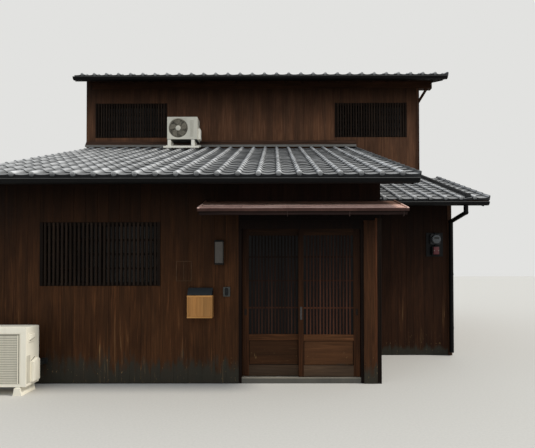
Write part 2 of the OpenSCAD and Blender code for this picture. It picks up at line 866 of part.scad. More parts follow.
// Downpipe at the right-hand corner, from the gutter back to the wall and down
pipe_gap = 12;
bend_h = 120;
bend_drop = 90;
collar = 4;
clip_h = 30;
module downpipe() color(black_metal) {
    x = x_right - pipe_in;
    y_pipe = y_recess - pipe_r - pipe_gap;
    y_out = y_right_eave - gutter_r - gutter_gap;
    z_out = right_eave_z - gutter_drop - gutter_r;
    z_bend = z_out - bend_h;
    dy = y_pipe - y_out;
    translate([x, y_out, z_bend]) cylinder(r = pipe_r, h = bend_h);
    translate([x, y_out, z_bend]) sphere(pipe_r + collar);
    translate([x, y_out, z_bend]) rotate([-90 - atan(bend_drop / dy), 0, 0])
        cylinder(r = pipe_r, h = norm([dy, bend_drop]));
    translate([x, y_pipe, z_bend - bend_drop]) sphere(pipe_r + collar);
    translate([x, y_pipe, floor_z]) cylinder(r = pipe_r, h = z_bend - bend_drop - floor_z);
    for (z = [clip_z, clip_z + clip_step]) {
        translate([x, y_pipe, z]) cylinder(r = pipe_r + collar, h = clip_h);
        block(x - clip_h / 2, x + clip_h / 2, y_pipe, y_recess, z, z + clip_h);
    }
}

// Canopy over the entrance: sheet metal on boards
x_can1 = x_entry + canopy_past;
x_can0 = x_can1 - canopy_w;
y_can = y_front - canopy_d;
canopy_front = 14;
trim_up = 10;
module canopy() color(copper) {
    y_in = y_can + canopy_front;
    sloped(x_can0, x_can1, y_can, y_front, canopy_z, canopy_t, canopy_pitch);
    block(x_can0, x_can1, y_can, y_in, canopy_z - canopy_lip, canopy_z - canopy_t / 2);
    for (x = [x_can0, x_can1 - canopy_trim]) {
        sloped(x, x + canopy_trim, y_can, y_front, canopy_z + trim_up, canopy_t, canopy_pitch);
    }
}

// Ledger, arms and front rail under the canopy
arms = 4;
rail_in = 20;
rail_d = 40;
ledger_d = 45;
ledger_h = 50;
module canopy_frame() color(dark_wood) {
    z_front = canopy_z - canopy_t;
    z_wall = z_front + canopy_pitch * canopy_d;
    for (i = [0:arms - 1]) {
        x = x_can0 + arm_w + (x_entry - x_can0 - 2 * arm_w) * i / (arms - 1);
        sloped(x - arm_w / 2, x + arm_w / 2, y_can + rail_d, y_front,
               z_front + canopy_pitch * rail_d, arm_h, canopy_pitch);
    }
    sloped(x_can0 + rail_in, x_can1 - rail_in, y_can + rail_in, y_can + rail_in + rail_d,
           z_front + canopy_pitch * rail_in, front_rail_h, canopy_pitch);
    block(x_can0 + rail_in, x_entry, y_front - ledger_d, y_front, z_wall - arm_h - ledger_h,
          z_wall - canopy_pitch * ledger_d);
}

// Lattice window for a wall whose outer face is at Y = 0
module lattice(w) {
    xa = w[0] + frame_w;
    xb = w[1] - frame_w;
    za = w[2] + frame_w;
    zb = w[3] - frame_w;
    y0 = -frame_out;
    n = round((xb - xa) / bar_step);
    along_y(y0, y0 + frame_d) difference() {
        translate([w[0], w[2]]) square([w[1] - w[0], w[3] - w[2]]);
        translate([xa, za]) square([xb - xa, zb - za]);
    }
    for (i = [0.5:1:n]) {
        x = xa + (xb - xa) * i / n;
        block(x - bar_w / 2, x + bar_w / 2, y0 + 8, y0 + 8 + bar_d, za, zb);
    }
    for (i = [1:3]) {
        z = za + (zb - za) * i / 4;
        block(xa, xb, y0 + 8 + bar_d, y0 + 8 + bar_d + nuki_d, z - nuki_h / 2, z + nuki_h / 2);
    }
}

// Pair of sashes behind a lattice
module sash(w) {
    xm = (w[0] + w[1]) / 2;
    along_y(sash_y, sash_y + sash_d) difference() {
        translate([w[0], w[2]]) square([w[1] - w[0], w[3] - w[2]]);
        for (x = [w[0] + sash_w, xm + sash_w / 2]) {
            translate([x, w[2] + sash_w]) square([(w[1] - w[0]) / 2 - 1.5 * sash_w,
                                                 w[3] - w[2] - 2 * sash_w]);
        }
    }
}

// Glass of a pair of sashes
module panes(w) {
    xm = (w[0] + w[1]) / 2;
    y0 = sash_y + (sash_d - glass_t) / 2;
    for (x = [w[0] + sash_w, xm + sash_w / 2]) {
        block(x, x + (w[1] - w[0]) / 2 - 1.5 * sash_w, y0, y0 + glass_t,
              w[2] + sash_w, w[3] - sash_w);
    }
}

module lower_lattice() color(dark_wood) translate([0, y_front, 0]) lattice(low_win);

module upper_lattices() color(dark_wood) {
    translate([0, y_upper, 0]) {
        lattice(up_win_l);
        lattice(up_win_r);
    }
}

module back_lattices() color(dark_wood) at_back() for (w = back_wins) lattice(w);

module window_frames() color(brown_wood) {
    translate([0, y_front, 0]) sash(low_win);
    translate([0, y_upper, 0]) {
        sash(up_win_l);
        sash(up_win_r);
    }
    at_back() for (w = back_wins) sash(w);
}

module window_glass() color(glass_blue) {
    translate([0, y_front, 0]) panes(low_win);
    translate([0, y_upper, 0]) {
        panes(up_win_l);
        panes(up_win_r);
    }
    at_back() for (w = back_wins) panes(w);
}

// Jambs and a head with a groove for each leaf
module door_frame() color(dark_wood) {
    y1 = y_front + wall_t;
    for (x = [x_door0 - jamb_w, x_door1]) {
        block(x, x + jamb_w, y_front, y1, 0, door_h);
    }
    difference() {
        block(x_door0 - jamb_w, x_door1 + jamb_w, y_front, y1, door_h, door_h + head_h);
        for (y = [y_track1, y_track2]) {
            block(x_door0, x_door1, y - run_gap, y + leaf_t + run_gap, door_h - 1,
                  door_h + groove_d);
        }
    }
}

// Sill with a rail under each leaf
module door_sill() color(plaster) {
    block(x_door0, x_door1, y_front, y_front + wall_t, 0, sill_h);
    for (y = [y_track1, y_track2]) {
        block(x_door0, x_door1, y + (leaf_t - rail_w) / 2, y + (leaf_t + rail_w) / 2, sill_h,
              sill_h + rail_h);
    }
}

// Clear width between the stiles of a leaf, and the height of its lattice
light_w = leaf_w - stile_w - meet_w;
light_z0 = mid_rail_z + mid_rail;
light_z1 = leaf_top - top_rail;
bar_set = 4;
cross_h = 20;
panel_set = 8;
pull_set = 8;
lock_out = 6;

// A sliding leaf whose outer stile starts at x = 0 and whose front face is at y = 0
module leaf_wood() {
    xa = stile_w;
    xb = stile_w + light_w;
    n = round(light_w / leaf_step);
    bar_t = leaf_t / 2 - glass_t / 2 - bar_set;
    difference() {
        block(0, leaf_w, 0, leaf_t, leaf_z, leaf_top);
        block(xa, xb, -1, leaf_t + 1, light_z0, light_z1);
        block(xa, xb, -1, panel_set, leaf_z + bottom_rail, mid_rail_z);
        block(xa, xb, leaf_t - panel_set, leaf_t + 1, leaf_z + bottom_rail, mid_rail_z);
        translate([stile_w / 2, pull_set, pull_z]) rotate([90, 0, 0]) linear_extrude(pull_set + 2)
            translate([-pull_w / 2, -pull_h / 2]) round_rect(pull_w, pull_h, pull_w / 2 - 1);
    }
    for (i = [1:n - 1]) {
        x = xa + light_w * i / n;
        block(x - leaf_bar / 2, x + leaf_bar / 2, bar_set, bar_set + bar_t, light_z0, light_z1);
    }
    for (z = leaf_rails) {
        block(xa, xb, bar_set, bar_set + bar_t, z - cross_h / 2, z + cross_h / 2);
    }
    for (x = [stile_w, leaf_w - meet_w]) {
        translate([x, (leaf_t + roller_w) / 2, sill_h + rail_h + roll_gap + roller_r])
            rotate([90, 0, 0]) cylinder(r = roller_r, h = roller_w);
    }
}

// Glass of a leaf, behind its bars
module leaf_pane() {
    y0 = (leaf_t - glass_t) / 2;
    block(stile_w, stile_w + light_w, y0, y0 + glass_t, light_z0, light_z1);
}

// Places for the two leaves: the left one on the inner rail, the right one on the outer
module at_left_leaf() {
    translate([x_door0 + run_gap, y_track2, 0]) children();
}

module at_right_leaf() {
    translate([x_door1 - run_gap, y_track1, 0]) mirror([1, 0, 0]) children();
}

module left_leaf() color(dark_wood) at_left_leaf() leaf_wood();

module left_glass() color(glass_blue) at_left_leaf() leaf_pane();

module right_leaf() color(dark_wood) {
    at_right_leaf() {
        leaf_wood();
        x = leaf_w - (meet_w + lock_w) / 2;
        block(x, x + lock_w, -lock_out, 0, lock_z, lock_z + lock_h);
    }
}

module right_glass() color(glass_blue) at_right_leaf() leaf_pane();

// Wall lamp: a glass box between a roof cap and a foot, with a post at each corner
lamp_plate = 14;
lamp_cap = 22;
lamp_post = 10;
module lamp() color(pale_metal) {
    xa = x_door0 - lamp_x - lamp_w / 2;
    xb = xa + lamp_w;
    ya = y_front - lamp_d;
    z0 = lamp_z + lamp_plate;
    z1 = lamp_z + lamp_h - lamp_cap;
    p = lamp_post;
    block(xa, xb, ya, y_front, lamp_z, z0);
    block(xa + p / 2, xb - p / 2, ya + p / 2, y_front, z0, z1);
    for (x = [xa, xb - p], y = [ya, y_front - p]) block(x, x + p, y, y + p, z0, z1);
    for (z = [z0, z1 - p]) block(xa, xb, ya, y_front, z, z + p);
    block(xa, xb, ya, y_front, z1, lamp_z + lamp_h - lamp_cap / 2);
    block(xa + p, xb - p, ya + p, y_front, z1, lamp_z + lamp_h);
}

// Letter box: a deep case with a framed door and a hooded top
hood_share = 0.25;
box_frame = 24;
box_sink = 8;
hood_in = 6;
module mailbox() color([0.67, 0.47, 0.24]) {
    xa = x_door0 - box_x - box_w / 2;
    xb = xa + box_w;
    ya = y_front - box_d;
    z1 = box_z + box_h * (1 - hood_share);
    z2 = box_z + box_h;
    f = box_frame;
    difference() {
        block(xa, xb, ya, y_front, box_z, z1);
        block(xa + f, xb - f, ya - 1, ya + box_sink, box_z + f, z1 - f);
    }
    along_x(xa + hood_in, xb - hood_in) polygon([
        [y_front, z1], [y_front, z2], [y_front - 0.45 * box_d, z2], [ya + hood_in, z1 + f],
        [ya + hood_in, z1]]);
}

// Door phone: a case with a sloping face and a lens
lens_r = 11;
module door_phone() color(pale_metal) {
    x = x_door0 - phone_x;
    z1 = phone_z + phone_h;
    along_x(x - phone_w / 2, x + phone_w / 2) polygon([
        [y_front, phone_z], [y_front, z1], [y_front - 0.7 * phone_d, z1],
        [y_front - phone_d, z1 - 0.2 * phone_h], [y_front - phone_d, phone_z]]);
    translate([x, y_front - 0.6 * phone_d, z1 - 0.3 * phone_h]) rotate([90, 0, 0])
        cylinder(r = lens_r, h = 0.5 * phone_d);
}

// Board with two meters on the wall that stands back
meter_sink = 50;
meter_round = 25;
module meter_board() color(pale_metal) {
    x1 = x_right - board_x;
    x0 = x1 - board_w;
    y1 = y_recess;
    y0 = y1 - board_d;
    xm = (x0 + x1) / 2;
    z_low = board_z + 0.06 * board_h;
    z_up = board_z + 0.5 * board_h;
    case_h = 0.44 * board_h;
    glass_r = meter_w / 2 - meter_round / 2;
    block(x0, x1, y0, y1, board_z, board_z + board_h);
    along_y(y0 - meter_sink, y0) translate([xm - meter_w / 2, z_up])
        round_rect(meter_w, case_h, meter_round);
    along_y(y0 - meter_d, y0) translate([xm, z_up + case_h / 2]) circle(glass_r);
    block(xm - 0.4 * meter_w, xm + 0.4 * meter_w, y0 - 0.8 * meter_d, y0, z_low,
          z_low + 0.36 * board_h);
}

// Case of a cooling unit with its front at y = 0 and its middle at x = 0, with the cover
// over its valves at the right
cover_w = 68;
cover_in = 20;
cover_round = 16;
case_round = 18;
module unit_case(w, d, h) {
    translate([-w / 2, 0, 0]) linear_extrude(h) round_rect(w, d, case_round);
    translate([w / 2 - cover_in, 0.35 * d, 0.06 * h]) linear_extrude(0.5 * h)
        round_rect(cover_w, 0.5 * d, cover_round);
}

// Cooling unit with a round fan behind rings and spokes
front_deep = 14;
wire = 6;
hub_share = 0.28;
module fan_unit(w, d, h) {
    fan_x = -0.13 * w;
    fan_r = 0.41 * h;
    difference() {
        unit_case(w, d, h);
        translate([fan_x, front_deep, 0.5 * h]) rotate([90, 0, 0])
            cylinder(r = fan_r, h = 2 * front_deep);
    }
    translate([fan_x, front_deep, 0.5 * h]) rotate([90, 0, 0]) {
        cylinder(r = hub_share * fan_r, h = front_deep - 2);
        for (r = [0.45, 0.7, 0.92]) linear_extrude(front_deep - 4) difference() {
            circle(r * fan_r);
            circle(r * fan_r - wire);
        }
        for (a = [0:60:120]) rotate([0, 0, a]) translate([-0.91 * fan_r, -wire / 2, 0])
            cube([1.82 * fan_r, wire, front_deep - 6]);
    }
}

// Cooling unit with a louvred grille in its front
slats = 16;
slat_h = 14;
module louvre_unit(w, d, h) {
    x0 = -0.42 * w;
    x1 = 0.3 * w;
    z0 = 0.08 * h;
    z1 = 0.86 * h;
    difference() {
        unit_case(w, d, h);
        block(x0, x1, -1, front_deep, z0, z1);
    }
    for (i = [1:slats]) {
        z = z0 + (z1 - z0) * i / (slats + 1);
        block(x0, x1, 4, front_deep, z - slat_h / 2, z + slat_h / 2);
    }
}

// Cooling unit on its stand over the front roof
leg_w = 70;
leg_d = 40;
leg_in = 5;
leg_left = 11;
leg_right = 64;
rail_t = 40;
module roof_condenser() color(pale_metal) {
    d = roof_unit_d;
    xm = x_left + roof_unit_x;
    y0 = y_upper - roof_unit_gap - d;
    tile_z = roll_h / cos(slope);
    z0 = main_top(y0) + tile_z + roof_unit_leg;
    ya = y0 + leg_in;
    yb = y0 + d - leg_in;
    x_leg0 = xm - roof_unit_w / 2 + leg_left;
    x_leg1 = xm + roof_unit_w / 2 - leg_right - leg_w;
    x_rail = (x_leg0 + x_leg1 + leg_w) / 2;
    translate([xm, y0, z0]) fan_unit(roof_unit_w, roof_unit_d, roof_unit_h);
    for (x = [x_leg0, x_leg1]) {
        block(x, x + leg_w, ya, ya + leg_d, main_top(ya + leg_d) + tile_z, z0);
        block(x, x + leg_w, yb - leg_d, yb, main_top(yb) + tile_z, z0);
        block(x, x + leg_w, ya, yb, z0 - rail_t / 2, z0);
    }
    for (y = [ya, yb - leg_d]) {
        z = main_top(y + leg_d) + tile_z;
        block(x_rail - roof_rail_w / 2, x_rail + roof_rail_w / 2, y, y + leg_d, z, z + rail_t);
    }
}

// Cooling unit on feet in front of the wall, with its pipe duct
foot_w = 100;
foot_in = 60;
foot_out = 10;
duct_w = 60;
duct_z = 300;
module yard_condenser() color(pale_metal) {
    w = yard_unit_w;
    d = yard_unit_d;
    xm = x_left + yard_unit_x;
    y0 = y_front - yard_unit_gap - d;
    xd = xm + w / 2 - duct_w / 2 - duct_w;
    translate([xm, y0, yard_unit_leg]) louvre_unit(yard_unit_w, yard_unit_d, yard_unit_h);
    for (x = [xm - w / 2 + foot_in, xm + w / 2 - foot_in - foot_w]) {
        block(x, x + foot_w, y0 - foot_out, y0 + d + foot_out, 0, yard_unit_leg);
    }
    block(xd, xd + duct_w, y0 + d - foot_out, y_front, duct_z, duct_z + duct_w);
}

floor_slab();
left_party_wall();
right_side_wall();
entrance_side_wall();
front_wall();
wall_over_door();
wing_wall();
recessed_wall();
back_wall();
upper_front_wall();
upper_floor();
beams();
strut();
main_rafters();
main_deck();
main_tiles();
right_rafters();
right_deck();
right_tiles();
upper_rafters();
upper_deck();
upper_tiles();
ridge();
verge_boards();
upper_verge_boards();
eave_boards();
wall_flashing();
lower_gutters();
upper_gutters();
downpipe();
canopy();
canopy_frame();
lower_lattice();
upper_lattices();
back_lattices();
window_frames();
window_glass();
door_frame();
door_sill();
left_leaf();
left_glass();
right_leaf();
right_glass();
lamp();
mailbox();
door_phone();
meter_board();
roof_condenser();
yard_condenser();
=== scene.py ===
# Visual model of a traditional timber townhouse, in metres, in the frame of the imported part.
import bpy
import math
import random
from mathutils import Matrix, Vector


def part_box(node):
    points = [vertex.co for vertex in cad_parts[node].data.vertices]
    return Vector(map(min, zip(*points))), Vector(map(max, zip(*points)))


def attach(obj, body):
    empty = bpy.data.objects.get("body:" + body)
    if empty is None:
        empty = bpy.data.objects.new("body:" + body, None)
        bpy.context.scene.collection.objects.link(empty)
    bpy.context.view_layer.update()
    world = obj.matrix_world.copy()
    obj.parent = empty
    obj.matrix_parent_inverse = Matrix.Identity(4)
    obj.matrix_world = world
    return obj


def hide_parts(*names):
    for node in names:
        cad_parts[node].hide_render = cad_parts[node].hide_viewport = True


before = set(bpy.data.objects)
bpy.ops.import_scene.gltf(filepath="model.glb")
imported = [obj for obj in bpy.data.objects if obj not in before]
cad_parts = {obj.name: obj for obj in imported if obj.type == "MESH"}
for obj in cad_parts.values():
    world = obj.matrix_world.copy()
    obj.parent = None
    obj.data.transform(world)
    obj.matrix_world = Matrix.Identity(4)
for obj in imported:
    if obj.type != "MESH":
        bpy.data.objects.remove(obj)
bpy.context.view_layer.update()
rng = random.Random(11)

# ------------------------------------------------------------- sizes, as in the part's source
XL, XR, XE = -3.82, 3.82, 2.01
YF, YR, YU, YB = -4.625, -2.765, -1.105, 4.625
WALL = 0.12
PITCH = 0.373
CS = 1 / math.sqrt(1 + PITCH * PITCH)
SN = PITCH * CS
Y_MAIN, Z_MAIN, X_MAIN = -5.225, 2.815, 2.38
Y_RIGHT, Z_RIGHT, X_RIGHT = -3.355, 2.810, 4.24
Y_UP, Z_UP, X_UP = -1.655, 5.79261, 4.27
Y_RIDGE, Y_BACK = 1.76, 5.175
KERB_X, KERB_H, RAKE_X = 3.84, 0.010, 3.825
GUTTER_IN, GUTTER_DROP = 0.045, 0.044
DECK, RAFTER, TIE = 0.024, 0.060, 0.150
TILE_W, ROLL, RIM, PAN, SHARE, TILE_T = 0.263, 0.080, 0.047, 0.036, 0.31, 0.016
DOOR0, DOOR1 = 0.036, 1.733
LEAF_W, LEAF_T, LEAF_Z, LEAF_TOP = 0.881, 0.033, 0.092, 2.210
Y_OUTER, Y_INNER = YF + 0.015, YF + 0.058
BOARD_T, SOLE = 0.010, 0.012


def main_top(y):
    return Z_MAIN + PITCH * (y - Y_MAIN)


def right_top(y):
    return Z_RIGHT + PITCH * (y - Y_RIGHT)


def up_top(y):
    return Z_UP + PITCH * min(y - Y_UP, Y_BACK - y)


# windows: two ends along the wall, foot and head
UP_WIN_Z = main_top(YU) + 0.283
LOW_WIN = (-2.844, -1.122, 1.39, 2.30)
UP_WIN_L = (-3.607, -1.957, UP_WIN_Z, UP_WIN_Z + 0.795)
UP_WIN_R = (1.899, 3.549, UP_WIN_Z, UP_WIN_Z + 0.795)
BACK_WINS = [(-w[1], -w[0], w[2], w[3]) for w in (UP_WIN_L, UP_WIN_R, LOW_WIN)]


# ------------------------------------------------------------- camera, fitted to the photograph
def placed(name, data):
    """A new object in the scene."""
    ob = bpy.data.objects.new(name, data)
    bpy.context.scene.collection.objects.link(ob)
    return ob


PHOTO_W, FOCAL_PX, SHIFT_X_PX, SHIFT_Y_PX, SENSOR = 535, 406.55, -5.37, 38.1, 36.0
cam_data = bpy.data.cameras.new("camera")
cam_data.sensor_fit = "HORIZONTAL"
cam_data.sensor_width = SENSOR
cam_data.lens = SENSOR * FOCAL_PX / PHOTO_W
cam_data.shift_x = SHIFT_X_PX / PHOTO_W
cam_data.shift_y = SHIFT_Y_PX / PHOTO_W
yaw, tip, lean = math.radians(0.20), math.radians(0.70), math.radians(0.096)
cam = placed("camera", cam_data)
cam.matrix_world = (Matrix.Translation((0.503, -10.428, 1.655)) @ Matrix.Rotation(yaw, 4, "Z")
                    @ Matrix.Rotation(math.pi / 2 + tip, 4, "X") @ Matrix.Rotation(-lean, 4, "Z"))
bpy.context.scene.camera = cam


# ------------------------------------------------------------- nodes of materials
class Nodes:
    """Small help for building a material's nodes; colours are tuples of linear values."""

    def __init__(self, name):
        self.mat = bpy.data.materials.new(name)
        self.mat.use_nodes = True
        self.tree = self.mat.node_tree
        self.bsdf = self.tree.nodes["Principled BSDF"]
        self.co = self.node("TexCoord", "Object")

    def put(self, socket, v):
        """Links v to the socket or, where v is a number or a tuple, sets it."""
        if isinstance(v, bpy.types.NodeSocket):
            self.tree.links.new(v, socket)
        else:
            socket.default_value = (*v, 1) if socket.type == "RGBA" else v

    def node(self, kind, out, inputs=None, **values):
        """A new node with its values set and its inputs fed; gives the output called out."""
        n = self.tree.nodes.new("ShaderNode" + kind)
        for k, v in values.items():
            setattr(n, k, v)
        for k, v in (inputs or {}).items():
            self.put(n.inputs[k], v)
        return n.outputs[out]

    def noise(self, scale, detail, rough=0.5, distort=0.0, vec=None):
        """Noise of vec or of the object's coordinates, at one scale or at one for each axis."""
        if not isinstance(scale, tuple):
            scale = (scale,) * 3
        vec = self.node("Mapping", "Vector", {"Vector": vec or self.co, "Scale": scale})
        return self.node("TexNoise", "Fac", {"Vector": vec, "Scale": 1.0, "Detail": detail,
                                             "Roughness": rough, "Distortion": distort})

    def attr(self, name):
        return self.node("Attribute", "Fac", attribute_name=name)

    def axis(self, name):
        return self.node("SeparateXYZ", name, {0: self.co})

    def math(self, op, a, b, clamp=False):
        return self.node("Math", 0, {0: a, 1: b}, operation=op, use_clamp=clamp)

    def mul(self, a, b, clamp=False):
        return self.math("MULTIPLY", a, b, clamp)

    def add(self, a, b):
        return self.math("ADD", a, b)

    def span(self, v, a, b, c=0.0, d=1.0):
        """Carries v from the span a to b to the span c to d, without going past it."""
        return self.node("MapRange", "Result", {"Value": v, "From Min": a, "From Max": b,
                                                "To Min": c, "To Max": d})

    def ramp(self, v, *stops):
        out = self.node("ValToRGB", "Color", {"Fac": v})
        e = out.node.color_ramp.elements
        while len(e) < len(stops):
            e.new(0.5)
        for i, (p, c) in enumerate(stops):
            e[i].position = p
            e[i].color = (*c, 1)
        return out

    def mix(self, fac, a, b, mode="MIX"):
        return self.node("Mix", 2, {0: fac, 6: a, 7: b}, data_type="RGBA", blend_type=mode)

    def bump(self, height, distance, strength):
        self.put(self.bsdf.inputs["Normal"], self.node("Bump", "Normal", {
            "Height": height, "Distance": distance, "Strength": strength}))

    def done(self, colour, rough, **own):
        """The material; own holds constants for other sockets of its shader."""
        for k, v in {"Base Color": colour, "Roughness": rough, **own}.items():
            self.put(self.bsdf.inputs[k.replace("_", " ")], v)
        return self.mat


def rgb(colour):
    """Linear values of a colour that is given as it shows on a screen, from 0 to 255."""
    return tuple(c / 12.92 if c <= 0.04045 else ((c + 0.055) / 1.055) ** 2.4
                 for c in (v / 255 for v in colour))


# The colours that the functions below take are those of a screen.
DAMP, BARE, SHADOW = rgb((51, 50, 43)), rgb((146, 120, 80)), rgb((8, 5, 4))
LIMEWASH = rgb((188, 180, 164)), rgb((158, 150, 136))
OLD_TIMBER = rgb((14, 9, 7)), rgb((24, 16, 11))


def wood(name, dark, mid, pale, along="Z", rough=0.62, worn=None, foot=0.0, shade=None, vary=0.5,
         fine=1.0):
    """Sawn, stained and weathered wood. The grain runs along one axis, each board differs by its
    tone, worn adds paler streaks, foot darkens what is near the ground, and shade = (z0, z1,
    share) is painted shade: it darkens the colour towards z1, as under eaves and canopies."""
    n = Nodes(name)
    dark, mid, pale = map(rgb, (dark, mid, pale))
    tone, z = n.attr("tone"), n.axis("Z")
    move = n.node("CombineXYZ", 0, {i: n.mul(tone, 7.3 + 5.1 * i) for i in range(3)})
    vec = n.node("VectorMath", 0, {0: n.co, 1: move}, operation="ADD")

    def grain(across, length, *rest):
        scale = tuple(length if axis == along else across for axis in "XYZ")
        return n.noise(scale, *rest, vec=vec)

    fibre = grain(150 * fine, 3.5, 5, 0.62, 0.3)
    bands = grain(24 * fine, 0.9, 4, 0.55, 1.6)
    patch = grain(5.5, 0.7, 3, 0.5)
    streak = grain(34, 1.3, 4, 0.6, 0.6)
    both = n.add(n.mul(fibre, 0.45), n.mul(bands, 0.55))
    col = n.ramp(both, (0.30, dark), (0.50, mid), (0.72, pale))
    col = n.mix(n.span(patch, 0.35, 0.7), col, n.mix(1.0, col, (1.55, 1.42, 1.30), "MULTIPLY"))
    lum = n.span(tone, 0, 1, 1 - vary, 1 + vary)
    grey = n.node("CombineColor", 0, {i: lum for i in range(3)})
    col = n.mix(1.0, col, grey, "MULTIPLY")
    if worn:
        cloud = n.noise((3.4, 3.4, 1.5), 4, 0.62, 0.5)
        col = n.mix(n.span(cloud, 0.30, 0.52, 0.45, 0.0), col, dark)
        mask = n.mul(n.span(streak, 0.53, 0.66), n.span(patch, 0.40, 0.62))
        col = n.mix(n.mul(mask, n.span(z, 0.15, 2.3, 0.8, 0.3), True), col, rgb(worn))
    if foot:
        edge = n.add(z, n.span(grain(11, 3.0, 5, 0.65), 0.3, 0.7, -0.5 * foot, 0.5 * foot))
        col = n.mix(n.span(edge, 0.62 * foot, 1.15 * foot, 0.90, 0.0), col, DAMP)
        bare = n.mul(n.span(streak, 0.63, 0.70), n.span(z, 0.15, 1.1, 0.8, 0.0))
        bare = n.mul(bare, n.span(patch, 0.48, 0.58))
        fleck = n.span(n.noise((52, 52, 20), 2, 0.5, 1.0), 0.70, 0.74)
        fleck = n.mul(fleck, n.span(z, 0.20, 0.50, 0.9, 0.0))
        col = n.mix(n.math("MAXIMUM", bare, fleck), col, BARE)
    # painted shade: the colour goes towards near-black from z0 to z1
    if shade:
        z0, z1, share = shade
        col = n.mix(n.span(z, z0, z1, 0.0, share), col, SHADOW)
    n.bump(n.add(n.mul(fibre, 0.7), n.mul(bands, 0.5)), 0.0022, 0.5)
    return n.done(col, n.span(fibre, 0.3, 0.7, rough - 0.08, rough + 0.14),
                  Specular_IOR_Level=0.06)


def clay(name, dark, mid, pale, rough=0.48):
    """Smoked roof tile: silver grey, each tile of its own tone, paler where it is worn and where
    highlights are painted, darker where shade is painted.
    """
    n = Nodes(name)
    dark, mid, pale = map(rgb, (dark, mid, pale))
    big, small, spots = n.noise(2.2, 4, 0.6), n.noise(38, 5, 0.65), n.noise(150, 2, 0.5)
    v = n.add(n.mul(n.attr("tone"), 0.34), n.mul(big, 0.28))
    v = n.add(n.add(v, n.mul(small, 0.32)), n.mul(n.attr("wear_and_painted_light"), 0.42))
    col = n.ramp(v, (0.30, dark), (0.58, mid), (0.98, pale))
    col = n.mix(n.span(spots, 0.62, 0.72, 0.0, 0.45), col, dark)
    n.bump(n.add(small, n.mul(spots, 0.4)), 0.0015, 0.35)
    return n.done(col, n.span(small, 0.3, 0.7, rough - 0.08, rough + 0.16), Metallic=0.04,
                  Specular_IOR_Level=0.32)


def coated(name, base, dirt, rough=0.45, metal=0.0, streaks=0.35, spec=0.5):
    """Painted or sheet metal or plastic with rain streaks and specks of dirt."""
    n = Nodes(name)
    base, dirt = rgb(base), rgb(dirt)
    run, cloud, speck = n.noise((24, 24, 1.6), 4, 0.6, 0.4), n.noise(5, 4, 0.6), n.noise(190, 2)
    v = n.mul(n.span(run, 0.45, 0.75), n.span(cloud, 0.35, 0.7))
    col = n.mix(n.mul(v, streaks, True), base, dirt)
    col = n.mix(n.span(speck, 0.63, 0.75, 0.0, 0.25), col, dirt)
    n.bump(n.add(speck, n.mul(cloud, 2.0)), 0.0006, 0.25)
    return n.done(col, n.span(cloud, 0.3, 0.7, rough - 0.08, rough + 0.12), Metallic=metal,
                  Specular_IOR_Level=spec)


def copper(name, base, dark, pale, shade=None):
    """Weathered brown copper sheet with soft stains along and across the fall. shade = (y0, y1,
    colour) is painted shade, which turns the sheet to that colour from y0 to y1."""
    n = Nodes(name)
    a, b = n.noise((3.0, 9.0, 9.0), 5, 0.62, 0.8), n.noise((46, 6, 6), 3, 0.6)
    v = n.add(n.add(n.mul(a, 0.5), n.mul(b, 0.28)), n.mul(n.attr("tone"), 0.22))
    col = n.ramp(v, (0.32, rgb(dark)), (0.52, rgb(base)), (0.74, rgb(pale)))
    if shade:
        y0, y1, colour = shade
        y = n.add(n.axis("Y"), n.span(b, 0.3, 0.7, -0.03, 0.03))
        col = n.mix(n.span(y, y0, y1), col, rgb(colour))
    n.bump(n.add(a, n.mul(b, 0.4)), 0.0012, 0.35)
    return n.done(col, n.span(a, 0.3, 0.7, 0.38, 0.58), Metallic=0.05, Specular_IOR_Level=0.12)


def plastered(name, base, stain, rough=0.9):
    """Trowelled plaster or cast stone with stains that run down from the top."""
    n = Nodes(name)
    base, stain = rgb(base), rgb(stain)
    cloud, run = n.noise(1.1, 5, 0.6), n.noise((7, 7, 0.55), 4, 0.62, 0.5)
    sand = n.noise(260, 3, 0.6)
    v = n.mul(n.span(run, 0.42, 0.72), n.span(cloud, 0.35, 0.65))
    col = n.mix(n.mul(v, 0.65, True), base, stain)
    col = n.mix(n.span(sand, 0.55, 0.8, 0.0, 0.25), col, stain)
    n.bump(n.add(sand, n.mul(cloud, 3.0)), 0.0015, 0.45)
    return n.done(col, n.span(cloud, 0.3, 0.7, rough - 0.06, rough + 0.04))


def glazing(name, colour, rough, clear, dusty, shine):
    """Old window glass, a little wavy, with dust."""
    n = Nodes(name)
    dust = n.noise((22, 22, 7), 5, 0.65)
    col = n.mix(n.span(dust, 0.45, 0.75, 0.0, 0.5), rgb(colour), rgb(dusty))
    n.bump(n.noise((3.5, 3.5, 2.2), 2), 0.004, 0.25)
    return n.done(col, n.span(dust, 0.4, 0.75, rough, rough + 0.18), Transmission_Weight=clear,
                  IOR=1.45, Specular_IOR_Level=shine)


def wall_core(name, inward):
    """A wall's own solid: plaster on the face that looks inward, dark timber on the others."""
    n = Nodes(name)
    cloud, sand = n.noise(1.3, 5, 0.6), n.noise(260, 3, 0.6)
    facing = n.node("VectorMath", "Value", {0: n.node("NewGeometry", "True Normal"), 1: inward},
                    operation="DOT_PRODUCT")
    part = n.span(cloud, 0.35, 0.65)
    col = n.mix(n.math("GREATER_THAN", facing, 0.5), n.mix(part, *OLD_TIMBER),
                n.mix(part, *LIMEWASH))
    n.bump(n.add(sand, n.mul(cloud, 3.0)), 0.0015, 0.4)
    return n.done(col, n.span(cloud, 0.3, 0.7, 0.84, 0.92))


def plain(name, colour, rough=0.5, metal=0.0, spread=0.12, grain=60.0):
    """A small fitting's material: one colour with a fine, uneven wear."""
    n = Nodes(name)
    a = n.noise(grain, 4, 0.6)
    low, high = [tuple(min(1, c * k) for c in rgb(colour))
                 for k in (1 - 2 * spread, 1 + 2 * spread)]
    n.bump(a, 0.0005, 0.3)
    return n.done(n.ramp(a, (0.3, low), (0.7, high)),
                  n.span(a, 0.3, 0.7, rough - 0.07, rough + 0.1), Metallic=metal,
                  Specular_IOR_Level=0.2)
